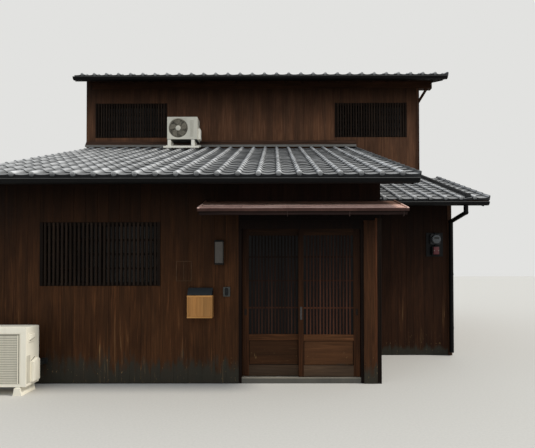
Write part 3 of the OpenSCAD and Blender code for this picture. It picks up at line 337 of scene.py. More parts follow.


# The shade given below to boards, posts, strips, jambs and door parts is painted shade: it darkens
# them towards the eaves and the canopy that shade them.
FRONT_WOOD = wood("front_boards", (40, 24, 13), (56, 35, 20), (74, 48, 28), worn=(100, 64, 38),
                  foot=0.34, shade=(1.2, 2.75, 0.84), vary=0.12)
# Boards over the door: near-black, and darker still downwards to the canopy: painted shadow of the
# canopy.
OVER_WOOD = wood("over_door_boards", (18, 10, 8), (28, 17, 12), (40, 26, 18),
                 shade=(2.52, 2.38, 0.86), vary=0.12)
RECESS_WOOD = wood("recess_boards", (31, 18, 11), (43, 26, 16), (58, 36, 23), worn=(72, 46, 28),
                   foot=0.16, shade=(0.9, 2.7, 0.8), vary=0.16)
UPPER_WOOD = wood("upper_boards", (58, 39, 28), (78, 54, 39), (102, 73, 54), worn=(118, 84, 58),
                  shade=(4.9, 5.8, 0.86), vary=0.14)
SIDE_WOOD = wood("side_boards", (50, 33, 22), (76, 52, 36), (104, 74, 52), worn=(120, 88, 60),
                 foot=0.5, vary=0.18)
TIMBER_X, TIMBER_Y, TIMBER_Z = [
    wood("timber_along_" + axis.lower(), (24, 15, 10), (42, 27, 18), (62, 41, 28), axis, vary=0.2)
    for axis in "XYZ"]
EAVE_WOOD, VERGE_WOOD = [wood(name, (9, 7, 6), (17, 12, 9), (30, 21, 16), axis, vary=0.2)
                         for name, axis in (("eave_wood", "X"), ("verge_wood", "Y"))]
DECK_WOOD = wood("roof_boards", (46, 31, 22), (72, 50, 36), (98, 70, 50), "X", vary=0.22)
APRON_WOOD = wood("apron_wood", (34, 24, 20), (54, 40, 32), (84, 62, 50), "X", vary=0.4)
FLOOR_WOOD = wood("floor_wood", (92, 66, 44), (128, 94, 64), (156, 120, 84), "X", vary=0.2)
CORNER_WOOD = wood("corner_wood", (36, 24, 17), (54, 37, 27), (76, 53, 40), vary=0.15)
PALE_STRIP = wood("corner_strip", (44, 26, 15), (67, 41, 26), (92, 60, 40), foot=0.26,
                  shade=(2.0, 2.5, 0.6), vary=0.1)
HATCH = wood("hatch_wood", (54, 40, 29), (68, 52, 38), (84, 66, 50), "X", vary=0.1)
CANOPY_WOOD = wood("canopy_wood", (24, 17, 15), (38, 27, 25), (54, 40, 36), "X", vary=0.15)
BAR_WOOD = wood("lattice_bars", (18, 13, 10), (31, 24, 19), (48, 38, 30), vary=0.25)
FRAME_WOOD = wood("frame_wood", (12, 8, 6), (20, 14, 10), (33, 23, 17), vary=0.15)
HEAD_WOOD = wood("head_wood", (9, 6, 4), (15, 10, 7), (25, 17, 12), "X", vary=0.15)
SASH_WOOD = wood("sash_wood", (9, 7, 6), (14, 10, 8), (22, 16, 12), vary=0.15)
POST_WOOD = wood("post_wood", (38, 23, 14), (64, 40, 24), (92, 60, 38), foot=0.26,
                 shade=(1.3, 2.5, 0.85), vary=0.12)
# Near-black jambs with a darker head: painted shade in the door's opening.
JAMB_WOOD = wood("jamb_wood", (12, 8, 7), (22, 14, 11), (36, 24, 18), shade=(2.1, 2.3, 0.6),
                 vary=0.15)
STILE_WOOD = wood("door_stiles", (30, 17, 10), (50, 30, 17), (74, 46, 27), shade=(1.0, 2.3, 0.88),
                  vary=0.2)
RAIL_WOOD = wood("door_rails", (40, 24, 14), (66, 42, 25), (96, 63, 40), "X",
                 shade=(1.0, 2.3, 0.88), vary=0.3)
PANEL_WOOD = wood("door_panels", (48, 31, 19), (60, 39, 24), (76, 51, 32), "X", foot=0.20, vary=0.4)
FOOT_RAIL = wood("door_foot_rails", (46, 35, 26), (62, 49, 38), (80, 65, 52), "X", vary=0.2)
STILE_BAR = wood("door_bars", (36, 21, 16), (60, 37, 28), (86, 54, 40), shade=(0.9, 1.95, 0.80),
                 vary=0.25)
RAIL_BAR = wood("door_cross_bars", (44, 26, 17), (72, 44, 30), (102, 64, 44), "X",
                shade=(0.9, 1.6, 0.9), vary=0.25)
# The left leaf's bars and cross bars are darker copies of the right leaf's: painted shade.
LEFT_BAR = wood("left_door_bars", (24, 15, 12), (40, 26, 20), (58, 38, 29), shade=(0.9, 1.95, 0.9),
                vary=0.25)
LEFT_RAIL = wood("left_door_cross_bars", (32, 20, 14), (52, 33, 24), (74, 49, 36), "X",
                 shade=(0.9, 1.6, 0.9), vary=0.25)
BOX_WOOD = wood("letter_box_wood", (136, 98, 56), (148, 108, 64), (163, 123, 76), rough=0.5,
                vary=0.1, fine=1.3)
BOX_RAIL = wood("letter_box_rails", (128, 88, 48), (162, 118, 68), (190, 146, 92), "X", rough=0.5,
                vary=0.1, fine=1.3)

TILE = clay("roof_tile", (60, 61, 61), (124, 125, 125), (214, 214, 213))
# The two darker copies of the tile below are painted shade, for faces that look forward, down or
# sideways: course fronts, the eave band, the small ridge's caps and the ridge's bands.
SHADED_TILE_EDGE = clay("roof_tile_edge_painted_shade", (26, 27, 28), (52, 53, 54), (176, 177, 177), 0.6)
SHADED_TILE_BAND = clay("roof_tile_band_painted_shade", (22, 23, 24), (40, 41, 43), (84, 86, 88), 0.6)
TILES = [TILE, SHADED_TILE_EDGE, SHADED_TILE_BAND]

LIT_RIDGE_COURSE = plastered("small_ridge_course_painted_light", (168, 167, 163), (118, 117, 113), 0.8)
STRIP = plastered("flashing_strip", (112, 110, 104), (76, 72, 66), 0.7)
PARTY = plastered("party_wall", (176, 168, 154), (118, 110, 98))
STONE = plastered("sill_stone", (84, 81, 73), (52, 50, 46), 0.75)
SILL_EDGE = plastered("sill_edge", (134, 128, 114), (96, 91, 80), 0.75)
DOMA = plastered("floor_screed", (140, 132, 118), (104, 98, 88), 0.85)
FRONT_CORE = wall_core("front_wall_core", (0, 1, 0))
SIDE_CORE = wall_core("side_wall_core", (-1, 0, 0))
BACK_CORE = wall_core("back_wall_core", (0, -1, 0))

# The canopy's copper comes in three copies: the sheet far paler than its lip, and the step below
# darker still, painted light on the top and painted shade under the edge; the sheet's shade is a
# painted shadow of the eave, darker towards the back.
COPPER = copper("canopy_sheet", (240, 200, 184), (194, 152, 136), (250, 218, 200),
                (-4.99, -4.91, (120, 90, 76)))
LIP = copper("canopy_lip", (104, 74, 66), (78, 53, 46), (128, 96, 86))
DROP = copper("canopy_drop", (66, 44, 38), (48, 31, 27), (86, 60, 52))
HOOK = copper("canopy_hooks", (60, 46, 42), (44, 33, 30), (78, 62, 56))

GLASS = glazing("window_glass", (10, 11, 11), 0.15, 0.3, (26, 26, 25), 0.15)
DOOR_GLASS = glazing("door_glass", (8, 7, 7), 0.35, 0.1, (20, 17, 15), 0.10)

GUTTER = coated("gutter_metal", (6, 6, 7), (16, 15, 14), 0.55, 0.0, 0.5, 0.12)
# The gutter's rim is a paler grey than the near-black gutter: painted highlight along it.
BEAD_HIGHLIGHT = coated("gutter_bead", (66, 67, 65), (44, 44, 42), 0.45, 0.1, 0.5)
CASE = coated("unit_case", (242, 235, 216), (190, 181, 158), 0.42)
CASE_ROOF = coated("roof_unit_case", (196, 192, 177), (146, 140, 124), 0.42, streaks=0.4)
CASE_SLAT = coated("unit_slats", (200, 194, 176), (156, 148, 128), 0.42, streaks=0.4)
CASE_PLATE = coated("unit_side_plate", (202, 196, 178), (164, 156, 136), 0.42, streaks=0.5)
CASE_GROOVE = coated("unit_groove", (150, 144, 128), (112, 106, 92), 0.5)
# Near-black for the units' insides and dark parts, and also painted shadow under the roof unit and
# in lines on the yard unit's side.
CASE_DARK = coated("unit_dark_parts_and_painted_shadow", (38, 38, 36), (24, 23, 21), 0.6, 0.0, 0.4, 0.2)
RAIL_METAL = coated("unit_rails", (230, 226, 212), (170, 162, 146), streaks=0.4)
NAVY = coated("letter_box_hood", (26, 32, 36), (48, 54, 56), 0.5, 0.0, 0.4, 0.25)

FIN = plain("unit_fins", (112, 107, 95))
GUARD = plain("guard_wire", (156, 149, 132))
LAMP_METAL = plain("lamp_metal", (9, 7, 6), 0.6)
LAMP_GLASS = plain("lamp_glass", (74, 70, 65), 0.5, 0.0, 0.06, 18)
PHONE = plain("phone_case", (64, 64, 60))
BLACK = plain("black_plastic", (14, 14, 15), 0.45)
METER_BOARD = plain("meter_board", (9, 9, 10), 0.6)
METER_PALE = plain("meter_pale", (40, 40, 42), 0.4)
METER_RED = plain("meter_red", (84, 42, 45))
METER_GLASS = plain("meter_glass", (80, 82, 84), 0.3, 0.0, 0.05)
LOCK = plain("lock_plate", (72, 68, 66), 0.45, 0.4)
STEEL = plain("pale_steel", (158, 152, 142), 0.35, 0.7)
BRASS = plain("old_brass", (26, 17, 12), 0.5, 0.3)


# ------------------------------------------------------------- mesh code
def along_x(p, q, r):
    return r, p, q


def turns(n):
    """The angles of n steps round a circle."""
    return [2 * math.pi * k / n for k in range(n)]


def arc(p, q, r, start, end, n):
    """Points round (p, q) in n steps; start and end are in half turns."""
    return [(p + r * math.cos(t), q + r * math.sin(t))
            for t in (math.pi * (start + (end - start) * k / n) for k in range(n + 1))]


def rect(p0, p1, q0, q1):
    return [(p0, q0), (p1, q0), (p1, q1), (p0, q1)]


def even(mid, right):
    """A section that is the same on both sides of mid, from its right half, foot first."""
    return ([(mid - right[0][0], right[0][1])] + [(mid + p, q) for p, q in right] +
            [(mid - p, q) for p, q in reversed(right[1:])])


def split(a, b, n):
    """The ends of n equal lengths from a to b."""
    return [(a + (b - a) * i / n, a + (b - a) * (i + 1) / n) for i in range(n)]


class Kit:
    """Collects one piece's faces, each with a material and a tone, and at its vertices a value for
    worn places and painted light.
    """

    def __init__(self):
        self.v, self.f, self.m, self.t, self.w = [], [], [], [], []

    def vert(self, p, wear_and_painted_light=0.0):
        self.v.append(tuple(p))
        self.w.append(wear_and_painted_light)
        return len(self.v) - 1

    def face(self, ids, mat=0, tone=0.5):
        self.f.append(tuple(ids))
        self.m.append(mat)
        self.t.append(tone)

    def band(self, a, b, mat=0, tone=0.5, closed=True, flip=False):
        """Faces between two rows of vertices, of which b may be a single one."""
        n = len(a)
        for i in range(n if closed else n - 1):
            j = (i + 1) % n
            ids = (a[i], a[j], b[j], b[i]) if len(b) > 1 else (a[i], a[j], b[0])
            self.face(ids[::-1] if flip else ids, mat, tone)

    def outward(self, first):
        """Turns the faces from number first on, if their normals point into the form."""
        ids = {i for f in self.f[first:] for i in f}
        mid = sum((Vector(self.v[i]) for i in ids), Vector()) / len(ids)
        volume = 0.0
        for f in self.f[first:]:
            a, *rest = [Vector(self.v[i]) - mid for i in f]
            volume += sum(a.dot(b.cross(c)) for b, c in zip(rest, rest[1:]))
        if volume < 0:
            self.f[first:] = [f[::-1] for f in self.f[first:]]

    def prism(self, section, a, b, mat=0, tone=0.5, place=along_x):
        """A section of (p, q) points carried from a to b, which are numbers or functions of p;
        place(p, q, r) gives the point."""
        first = len(self.f)
        low, high = [[self.vert(place(p, q, end(p) if callable(end) else end)) for p, q in section]
                     for end in (a, b)]
        self.band(low, high, mat, tone)
        self.face(low[::-1], mat, tone)
        self.face(high, mat, tone)
        self.outward(first)

    def bar(self, x0, x1, y0, y1, z0, z1, mat=0, tone=None, c=0.002, place=None):
        """A bar with eased long edges; its length is its longest side."""
        tone = rng.random() if tone is None else tone
        low, high = (x0, y0, z0), (x1, y1, z1)
        size = [b - a for a, b in zip(low, high)]
        ax = size.index(max(size))
        p, q = [(1, 2), (2, 0), (0, 1)][ax]
        a0, a1, b0, b1 = low[p], high[p], low[q], high[q]
        c = min(c, 0.3 * min(a1 - a0, b1 - b0))
        sec = [(a0 + c, b0), (a1 - c, b0), (a1, b0 + c), (a1, b1 - c), (a1 - c, b1), (a0 + c, b1),
               (a0, b1 - c), (a0, b0 + c)]

        def point(u, w, r):
            pt = [0, 0, 0]
            pt[p], pt[q], pt[ax] = u, w, r
            return place(*pt) if place else pt
        self.prism(sec, low[ax], high[ax], mat, tone, point)

    def tube(self, path, radius, sides=12, mat=0, tone=0.5, closed=False):
        """A round bar along a path of points."""
        pts = [Vector(p) for p in path]
        n, first, rows = len(pts), len(self.f), []
        for i, p in enumerate(pts):
            a = pts[i - 1] if (i or closed) else p
            b = pts[(i + 1) % n] if (i < n - 1 or closed) else p
            d = (b - a).normalized()
            side = d.cross(Vector((0, 0, 1)))
            if side.length < 0.2:
                side = d.cross(Vector((0, 1, 0)))
            side.normalize()
            top = side.cross(d)
            rows.append([self.vert(p + radius * (math.cos(t) * side + math.sin(t) * top))
                         for t in turns(sides)])
        for i in range(n if closed else n - 1):
            a, b = rows[i], rows[(i + 1) % n]
            for k in range(sides):
                j = (k + 1) % sides
                self.face((a[k], b[k], b[j], a[j]), mat, tone)
        if not closed:
            self.face(rows[0][::-1], mat, tone)
            self.face(rows[-1], mat, tone)
        self.outward(first)

    def rings(self, loops, mat=0, front=True):
        """A form through loops of as many points each; front closes the last one."""
        first = len(self.f)
        rows = [[self.vert(p) for p in loop] for loop in loops]
        for a, b in zip(rows, rows[1:]):
            self.band(a, b, mat)
        self.face(rows[0][::-1], mat)
        if front:
            self.face(rows[-1], mat)
        self.outward(first)

    def cover(self, steps, points, place, mat=0):
        """A form through steps of (depth, inset); points(inset) gives the loop's (p, q)."""
        self.rings([[place(p, g, q) for p, q in points(i)] for g, i in steps], mat)

    def casing(self, x0, x1, z0, z1, r, steps, mat=0, place=None, front=True):
        """A rounded case that grows along y through steps of (y, inset), from its back to its
        front; place, where given, carries each point to its place."""
        def points(inset):
            e = max(r - inset, 0.0008)
            a, b, c, d = x0 + inset + e, x1 - inset - e, z0 + inset + e, z1 - inset - e
            return [pt for k, (x, z) in enumerate(((b, d), (a, d), (a, c), (b, c)))
                    for pt in arc(x, z, e, k / 2, (k + 1) / 2, 5)]
        self.rings([[place(x, y, z) if place else (x, y, z) for x, z in points(inset)]
                    for y, inset in steps], mat, front)

    def disc(self, c, radii, sides=24, mat=0, tone=0.5, axis=(0, -1, 0)):
        """A turned form facing axis: radii lists (radius, height along axis), followed by a
        material where it isn't mat."""
        c, n, first = Vector(c), Vector(axis), len(self.f)
        s = Vector((1, 0, 0)) if abs(n.x) < 0.9 else Vector((0, 1, 0))
        t = n.cross(s)
        rows = [[self.vert(c + h * n + r * (math.cos(a) * s + math.sin(a) * t))
                 for a in turns(sides)] for r, h, *_ in radii]
        mats = [ring[2] if len(ring) > 2 else mat for ring in radii]
        for a, b, m in zip(rows, rows[1:], mats[1:]):
            self.band(a, b, m, tone)
        self.face(rows[-1], mats[-1], tone)
        self.outward(first)

    def build(self, name, mats, slot, stands_for=(), body="house", angle=35):
        me = bpy.data.meshes.new(name)
        me.from_pydata(self.v, [], self.f)
        for m in mats:
            me.materials.append(m)
        me.polygons.foreach_set("material_index", self.m)
        me.polygons.foreach_set("use_smooth", [True] * len(self.f))
        me.attributes.new("tone", "FLOAT", "FACE").data.foreach_set("value", self.t)
        me.attributes.new("wear_and_painted_light", "FLOAT", "POINT").data.foreach_set("value", self.w)
        me.update()
        me.validate()
        me.set_sharp_from_angle(angle=math.radians(angle))
        ob = placed(name, me)
        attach(ob, body)
        if stands_for:
            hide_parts(*stands_for)


# ------------------------------------------------------------- roofs
def wave(u):
    """Height of a tile over its bed; u runs from the left foot of its roll, 0, to 1."""
    if u < SHARE:
        return RIM + (ROLL - RIM) * math.sin(math.pi * u / SHARE) ** 0.8
    t = (u - SHARE) / (1 - SHARE)
    return RIM - (RIM - PAN) * math.sin(math.pi * min(1, 0.9 * t) ** 0.7)


def crown(u, eave):
    """What the tile's place across adds to its paleness: a painted highlight on the roll, more on
    an eave tile's roll, painted shade at the joints beside it, and a darker pan, partly dirt and
    partly painted shade.
    """
    add = 0.62 * math.sin(math.pi * u / SHARE) - 0.10 if u < SHARE else -0.24
    if u < 0.04 or u > 0.97:
        add = -0.6
    return add + 0.3 if eave and u < SHARE else add


ACROSS = ([SHARE * t for t in (0, 0.06, 0.16, 0.28, 0.42, 0.58, 0.72, 0.84, 0.94, 1)] +
          [SHARE + (1 - SHARE) * t for t in (0.1, 0.24, 0.42, 0.62, 0.82, 1)])
# radius and place along the slope of the rings of an eave tile's boss
BOSS = ((0.034, -0.020), (0.034, -0.0325), (0.030, -0.034), (0.024, -0.034), (0.020, -0.031),
        (0.0, -0.031))
CAP_LENGTH = 0.30


def roof_place(y0, z0, way):
    """Points of a slope: x across, s up the slope from the eave line, h square to it."""
    return lambda x, s, h: (x, y0 + way * (s * CS - h * SN), z0 + s * SN + h * CS)


def tile_slope(kit, x0, x1, roll_in, run, rows, place, way=1, lift=0.0, flap=True):
    """Separate pantiles over a slope, with bosses at the eave. roll_in is the middle of the last
    roll from x1, lift raises the tiles, and flap turns the last column down over the verge."""
    step, flip = run / rows, way < 0
    for k in range(-1, int((x1 - x0) / TILE_W) + 3):
        xc = x1 - roll_in - k * TILE_W
        xa = xc - SHARE / 2 * TILE_W
        us = [u for u in ACROSS if x0 <= xa + u * TILE_W <= x1]
        if not us:
            continue
        if xa + us[0] * TILE_W > x0 + 1e-4 and us[0] > 0:
            us.insert(0, (x0 - xa) / TILE_W)
        if us[-1] < 1 and xa + us[-1] * TILE_W < x1 - 1e-4:
            us.append((x1 - xa) / TILE_W)
        if len(us) < 3:
            continue
        last = xa + us[-1] * TILE_W > x1 - 1e-3
        for r in range(rows):
            # tiles darker towards the left end: painted shade, as from a neighbouring wall
            tone = rng.gauss(0.5, 0.1) - 0.25 * min(1, max(0, (-0.2 - xc) / 2.5))
            ds, dh, tw = [rng.uniform(*d) for d in ((-0.003, 0.003), (-0.001, 0.0015),
                                                    (-0.0015, 0.0015))]
            sa = r * step + ds if r else -0.010
            sb = min((r + 1) * step + 0.012, run)
            end = -0.006 if r == rows - 1 else -0.0165

            def line(s, rise, wear_and_painted_light=lambda u: 0.0):
                return [kit.vert(place(xa + u * TILE_W, s, lift + rise(u)), wear_and_painted_light(u)) for u in us]

            # Along each tile, paler near its front and darker at its back, under the next course:
            # partly dirt, partly painted highlight and painted shade.
            strip = [line(s, lambda u: wave(u) + dz + dh + tw * (u - 0.5) * 2,
                          lambda u: max(0.0, wear_and_painted_light + crown(u, r == 0 and s < 0.04)))
                     for s, dz, wear_and_painted_light in ((sa, -0.0035, 0.30), (sa + 0.005, 0.0, 0.62),
                                         (sa + 0.045, -0.002, 0.60),
                                         (sa + 0.6 * (sb - sa), 0.5 * end, 0.45), (sb, end, 0.10))]
            if r == 0:
                # turned-down front band of an eave tile
                for i, u in zip(strip[0], us):
                    kit.v[i] = place(xa + u * TILE_W, -0.024, lift + wave(u) - 0.003)
                low, back = [line(s, lambda u: -0.001 - 0.007 * (wave(u) < RIM))
                             for s in (-0.026, -0.012)]
                kit.band(low, back, 1, tone, False, not flip)
            else:
                # the course front's foot is pale on the roll: painted highlight
                low = line(sa + 0.001, lambda u: wave(u) - TILE_T - 0.001,
                           lambda u: 0.9 * math.sin(math.pi * u / SHARE) if u < SHARE else 0.05)
            # course fronts and the eave band take the darker tile copies: painted shade
            kit.band(low, strip[0], 2 if r == 0 else 1, tone, False, flip)
            for a, b in zip(strip, strip[1:]):
                kit.band(a, b, 0, tone, False, flip)
            if us[0] < 0.01:
                # edge beside the roll
                side = [kit.vert(place(xa + us[0] * TILE_W, s, lift + wave(0) + d - 0.014))
                        for s, d in ((sa, -0.0035), (sb, -0.0165))]
                kit.band((side[0], strip[0][0]), (side[1], strip[4][0]), 1, tone, False, flip)
            if flap and last:
                h = lift + wave(us[-1]) + 0.002
                kit.prism([(sa - 0.004, h), (sb - 0.014, h - 0.012), (sb - 0.014, -0.062),
                           (sa - 0.004, -0.050)], x1 - 0.014, x1, 0, tone,
                          lambda p, q, x: place(x, p, q))
        if x0 + 0.03 <= xc <= x1 - 0.034:
            h = lift + ROLL - 0.035
            # the boss is paler on top and darker below: painted light from above
            boss = [[kit.vert(place(xc + rad * math.cos(a), out, h + rad * math.sin(a)),
                              0.45 + 0.65 * math.sin(a)) for a in (turns(18) if rad else [0.0])]
                    for rad, out in BOSS]
            tone = rng.uniform(0.3, 0.7)
            for a, b in zip(boss, boss[1:]):
                kit.band(a, b, 0, tone, flip=flip)


def small_ridge(place, run):
    """Small ridge down a slope: two courses of flat tiles, round caps in lengths, an end disc."""
    kit = Kit()
    high, cap, width, start, length = 0.080, 0.042, 0.100, 0.030, 0.26
    xm = RAKE_X + width / 2

    def across(p, q, s):
        return place(p, s, q)
    # The lower course takes a pale plaster colour, so that its side, in shade from the sun, shows
    # light: painted light.
    for half, low, top, first, mat in ((width / 2, 0.030, 0.060, length, 3),
                                       (width / 2 - 0.005, 0.061, 0.079, length / 2, 1)):
        a, b = start, start + first
        while a < run - 0.01:
            kit.prism(even(xm, [(half, low), (half, top - 0.004), (half - 0.006, top)]),
                      a, min(b, run) - 0.002, mat, rng.gauss(0.5, 0.2), across)
            a, b = b, b + length
    s = start
    while s < run - 0.01:
        b = min(s + 0.29, run)
        for c, d, r in ((s, s + 0.040, cap), (s + 0.038, b - 0.001, cap - 0.003)):
            kit.prism(arc(xm, high, r, -0.1, 1.1, 12), c, min(d, run), 1, rng.gauss(0.6, 0.15),
                      across)
        s += 0.29
    kit.prism(arc(xm, high, cap + 0.003, 0, 2, 28)[:-1], start - 0.018, start, 2, 0.5, across)
    kit.prism(rect(RAKE_X, RAKE_X + width, 0.030, 0.074), start - 0.020, start, 2, 0.4, across)
    kit.disc(place(xm, start - 0.018, high),
             [(0.044, -0.002), (0.043, 0.003), (0.035, 0.0035), (0.033, 0.001, 1),
              (0.013, 0.001, 1), (0.010, 0.0035), (0.001, 0.004)], 28, 2, 0.6, (0, -CS, -SN))
    kit.build("small_ridge_tiles", [*TILES, LIT_RIDGE_COURSE], "roof_tile")


def tiles():
    """The tiles of the four slopes, and the small ridge beside the raised row at the right."""
    def field(name, node, *slopes):
        kit = Kit()
        for slope in slopes:
            tile_slope(kit, *slope)
        kit.build(name, TILES, "roof_tile", [node], angle=38)
    field("front_roof_tiles", "main_tiles",
          (XL, X_MAIN, 0.239, (YU - Y_MAIN) / CS - 0.004, 19, roof_place(Y_MAIN, Z_MAIN, 1)))
    place, run = roof_place(Y_RIGHT, Z_RIGHT, 1), (YU - Y_RIGHT) / CS - 0.004
    field("right_roof_tiles", "right_tiles",
          (XE + 0.001, KERB_X, 0.100, run, 10, place, 1, 0.0, False),
          (KERB_X, X_RIGHT, 0.262, run, 10, place, 1, KERB_H))
    small_ridge(place, run)
    run = (Y_RIDGE - 0.115 - Y_UP) / CS
    for side, y, way in (("front", Y_UP, 1), ("back", Y_BACK, -1)):
        field("upper_roof_tiles_" + side, "upper_tiles",
              (XL, X_UP, 0.290, run, 16, roof_place(y, Z_UP, way), way))


def ridge():
    """Bedding plaster, four courses of flat tiles, round caps with bands and the two end tiles."""
    kit = Kit()
    z0, half = up_top(Y_RIDGE), 0.115
    z_cap = z0 + 0.330 - 0.082
    kit.prism(even(Y_RIDGE, [(0.098, z0 - 0.034), (0.090, z0 + 0.087)]), XL + 0.01, X_UP - 0.01, 2)
    layer = (z_cap - z0 - ROLL) / 4
    for i in range(4):
        w, z = half - 0.009 * i, z0 + ROLL + i * layer
        x = XL + 0.055 - (CAP_LENGTH / 2 if i % 2 else 0.0)
        while x < X_UP - 0.06:
            xa, xb = max(x, XL + 0.055), min(x + CAP_LENGTH - 0.002, X_UP - 0.055)
            if xb - xa > 0.03:
                d = rng.uniform(-0.0015, 0.0015)
                kit.prism(even(Y_RIDGE, [(w + d, z + 0.003), (w + d, z + layer - 0.007),
                                         (w - 0.012, z + layer)]),
                          xa, xb - 0.002, 0, rng.gauss(0.5, 0.18))
            x += CAP_LENGTH
    x = XL + 0.05
    while x < X_UP - 0.06:
        xb = min(x + CAP_LENGTH, X_UP - 0.05)
        for a, b, rad in ((x, xb - 0.040, 0.078), (xb - 0.042, xb - 0.002, 0.0815)):
            kit.prism(arc(Y_RIDGE, z_cap, rad, -0.08, 1.08, 12), a, b, 0, rng.gauss(0.55, 0.15))
        x += CAP_LENGTH
    zt = z0 + 0.400 - half
    for s, out in ((-1, XL), (1, X_UP)):
        sec = arc(Y_RIDGE, zt, half, 0, 1, 16) + [(Y_RIDGE + p, z0 + q) for p, q in (
            (-0.128, 0.15), (-0.140, 0.087), (0.140, 0.087), (0.128, 0.15))]
        kit.prism(sec, *sorted((out - s * 0.010, out - s * 0.060)), 0, 0.45)
        kit.tube([(out - s * 0.009, p, q) for p, q in
                  arc(Y_RIDGE, zt, half - 0.010, -0.05, 1.05, 16)], 0.0085, 8, 1, 0.4)
        kit.disc((out - s * 0.010, Y_RIDGE, zt - 0.010),
                 [(0.062, 0), (0.060, 0.007), (0.050, 0.009), (0.046, 0.005, 1),
                  (0.018, 0.005, 1), (0.014, 0.0095), (0.001, 0.0098)], 28, 0, 0.55, (s, 0, 0))
    kit.build("ridge_tiles", [TILE, SHADED_TILE_EDGE, STRIP], "roof_tile", ["ridge"])


def flashing():
    """Weathered apron boards over the tiles at the foot of the upper wall, with a metal edge."""
    kit = Kit()
    for x0, x1, z in ((XL, X_MAIN, main_top(YU)), (X_MAIN + 0.02, XR, right_top(YU))):
        crest = z + ROLL / CS
        top, lip, low = crest + 0.122, crest + 0.014, crest - 0.036
        for a, b in split(x0, x1, max(1, round((x1 - x0) / 1.55))):
            b -= 0.002
            kit.prism([(YU, top), (YU, top - 0.014), (YU - 0.074, lip - 0.012), (YU - 0.074, lip)],
                      a, b, 0, rng.uniform(0.3, 0.7))
            d = rng.uniform(-0.001, 0.001)
            kit.prism([(YU - 0.074, lip + 0.002), (YU - 0.080, lip - 0.002), (YU - 0.080, low + d),
                       (YU - 0.076, low + d), (YU - 0.075, lip - 0.006)],
                      a, b, 1, rng.uniform(0.3, 0.7))
            kit.prism([(YU - 0.002, top + 0.016), (YU - 0.012, top + 0.012),
                       (YU - 0.012, top - 0.002), (YU - 0.002, top - 0.002)],
                      a, b, 0, rng.uniform(0.6, 0.9))
    kit.build("apron_flashing", [APRON_WOOD, STRIP], "flashing", ["wall_flashing"])


def gutter_beads():
    """Rolled rim along the front of each gutter."""
    kit = Kit()
    for y_eave, z_eave, x0, verge, way in (
            (Y_MAIN, Z_MAIN, XL, X_MAIN, 1), (Y_RIGHT, Z_RIGHT, XE + 0.020, X_RIGHT, 1),
            (Y_UP, Z_UP, XL, X_UP, 1), (Y_BACK, Z_UP, XL, X_UP, -1)):
        x1 = verge - GUTTER_IN
        y, z = y_eave - way * 0.1095, z_eave - GUTTER_DROP + 0.0035
        for a, b in split(x0, x1, round((x1 - x0) / 1.9)):
            kit.tube([(a + 0.0006, y, z), (b - 0.0006, y, z)], 0.0055, 10, 0, rng.random())
    kit.build("gutter_beads", [BEAD_HIGHLIGHT], "gutter_metal")


def roof_boards():
    """Boards over the rafters, seen from below."""
    runs = [(YU - Y_MAIN) / CS - 0.03, (YU - Y_RIGHT) / CS - 0.03, (Y_RIDGE - Y_UP) / CS - 0.01]
    for name, node, x0, x1, y0, z0, way, run in (
            ("front_roof_boards", "main_deck", XL, X_MAIN, Y_MAIN, Z_MAIN, 1, runs[0]),
            ("right_roof_boards", "right_deck", XE + 0.001, X_RIGHT, Y_RIGHT, Z_RIGHT, 1, runs[1]),
            ("upper_roof_boards_front", "upper_deck", XL, X_UP, Y_UP, Z_UP, 1, runs[2]),
            ("upper_roof_boards_back", "upper_deck", XL, X_UP, Y_BACK, Z_UP, -1, runs[2])):
        kit, place = Kit(), roof_place(y0, z0, way)
        x1 -= 0.016
        s = 0.010
        while s < run:
            w = min(rng.uniform(0.11, 0.15), run - s)
            if w > 0.02:
                e = s + w - 0.002
                sec = [(s, -0.0215), (s + 0.002, -0.0235), (e - 0.002, -0.0235), (e, -0.0215),
                       (e, -0.003), (s, -0.003)]
                cuts = sorted(rng.uniform(x0 + 0.5, x1 - 0.5) for _ in range(2))
                for a, b in zip([x0] + cuts, cuts + [x1]):
                    kit.prism(sec, a + 0.0007, b - 0.0007, 0, rng.random(),
                              lambda p, q, x: place(x, p, q))
            s += w
        kit.build(name, [DECK_WOOD], "roof_boards", [node])


# ------------------------------------------------------------- boarded walls
def wall_place(side, plane):
    """Points of a wall: s along it, d out from its plane, z up."""
    if side == "right":
        return lambda s, d, z: (plane + d, s, z)
    out = 1 if side == "back" else -1
    return lambda s, d, z: (s, plane + out * d, z)


def boards(kit, side, plane, s0, s1, bottom, top, wide=(0.15, 0.21), holes=(), seams=(), mat=0):
    """Upright boards with eased edges, cut round the windows; bottom and top are heights or
    functions that give them, such as under the slope of a roof."""
    place, gap, ease = wall_place(side, plane), 0.0005, 0.0016
    marks = sorted({s0, s1, *[m for m in seams if s0 < m < s1],
                    *[m for h in holes for m in h[:2] if s0 < m < s1]})
    edges = [marks[0]]
    for a, b in zip(marks, marks[1:]):
        n = max(1, round((b - a) / rng.uniform(*wide)))
        ws = [rng.uniform(*wide) for _ in range(n)]
        k = (b - a) / sum(ws)
        for w in ws[:-1]:
            edges.append(edges[-1] + w * k)
        edges.append(b)
    for a, b in zip(edges, edges[1:]):
        mid, t = (a + b) / 2, BOARD_T - rng.uniform(0, 0.0012)
        a, b = a + gap, b - gap
        sec = [(a, 0), (b, 0), (b, t - ease), (b - ease, t), (a + ease, t), (a, t - ease)]
        tone = min(1, max(0, rng.gauss(0.5, 0.24)))
        spans = [(bottom, top)]
        for h in sorted(holes, key=lambda h: h[2]):
            if h[0] < mid < h[1]:
                low, high = spans.pop()
                spans += [(low, h[2]), (h[3], high)]
        for low, high in spans:
            kit.prism(sec, low, high, mat, tone, place)


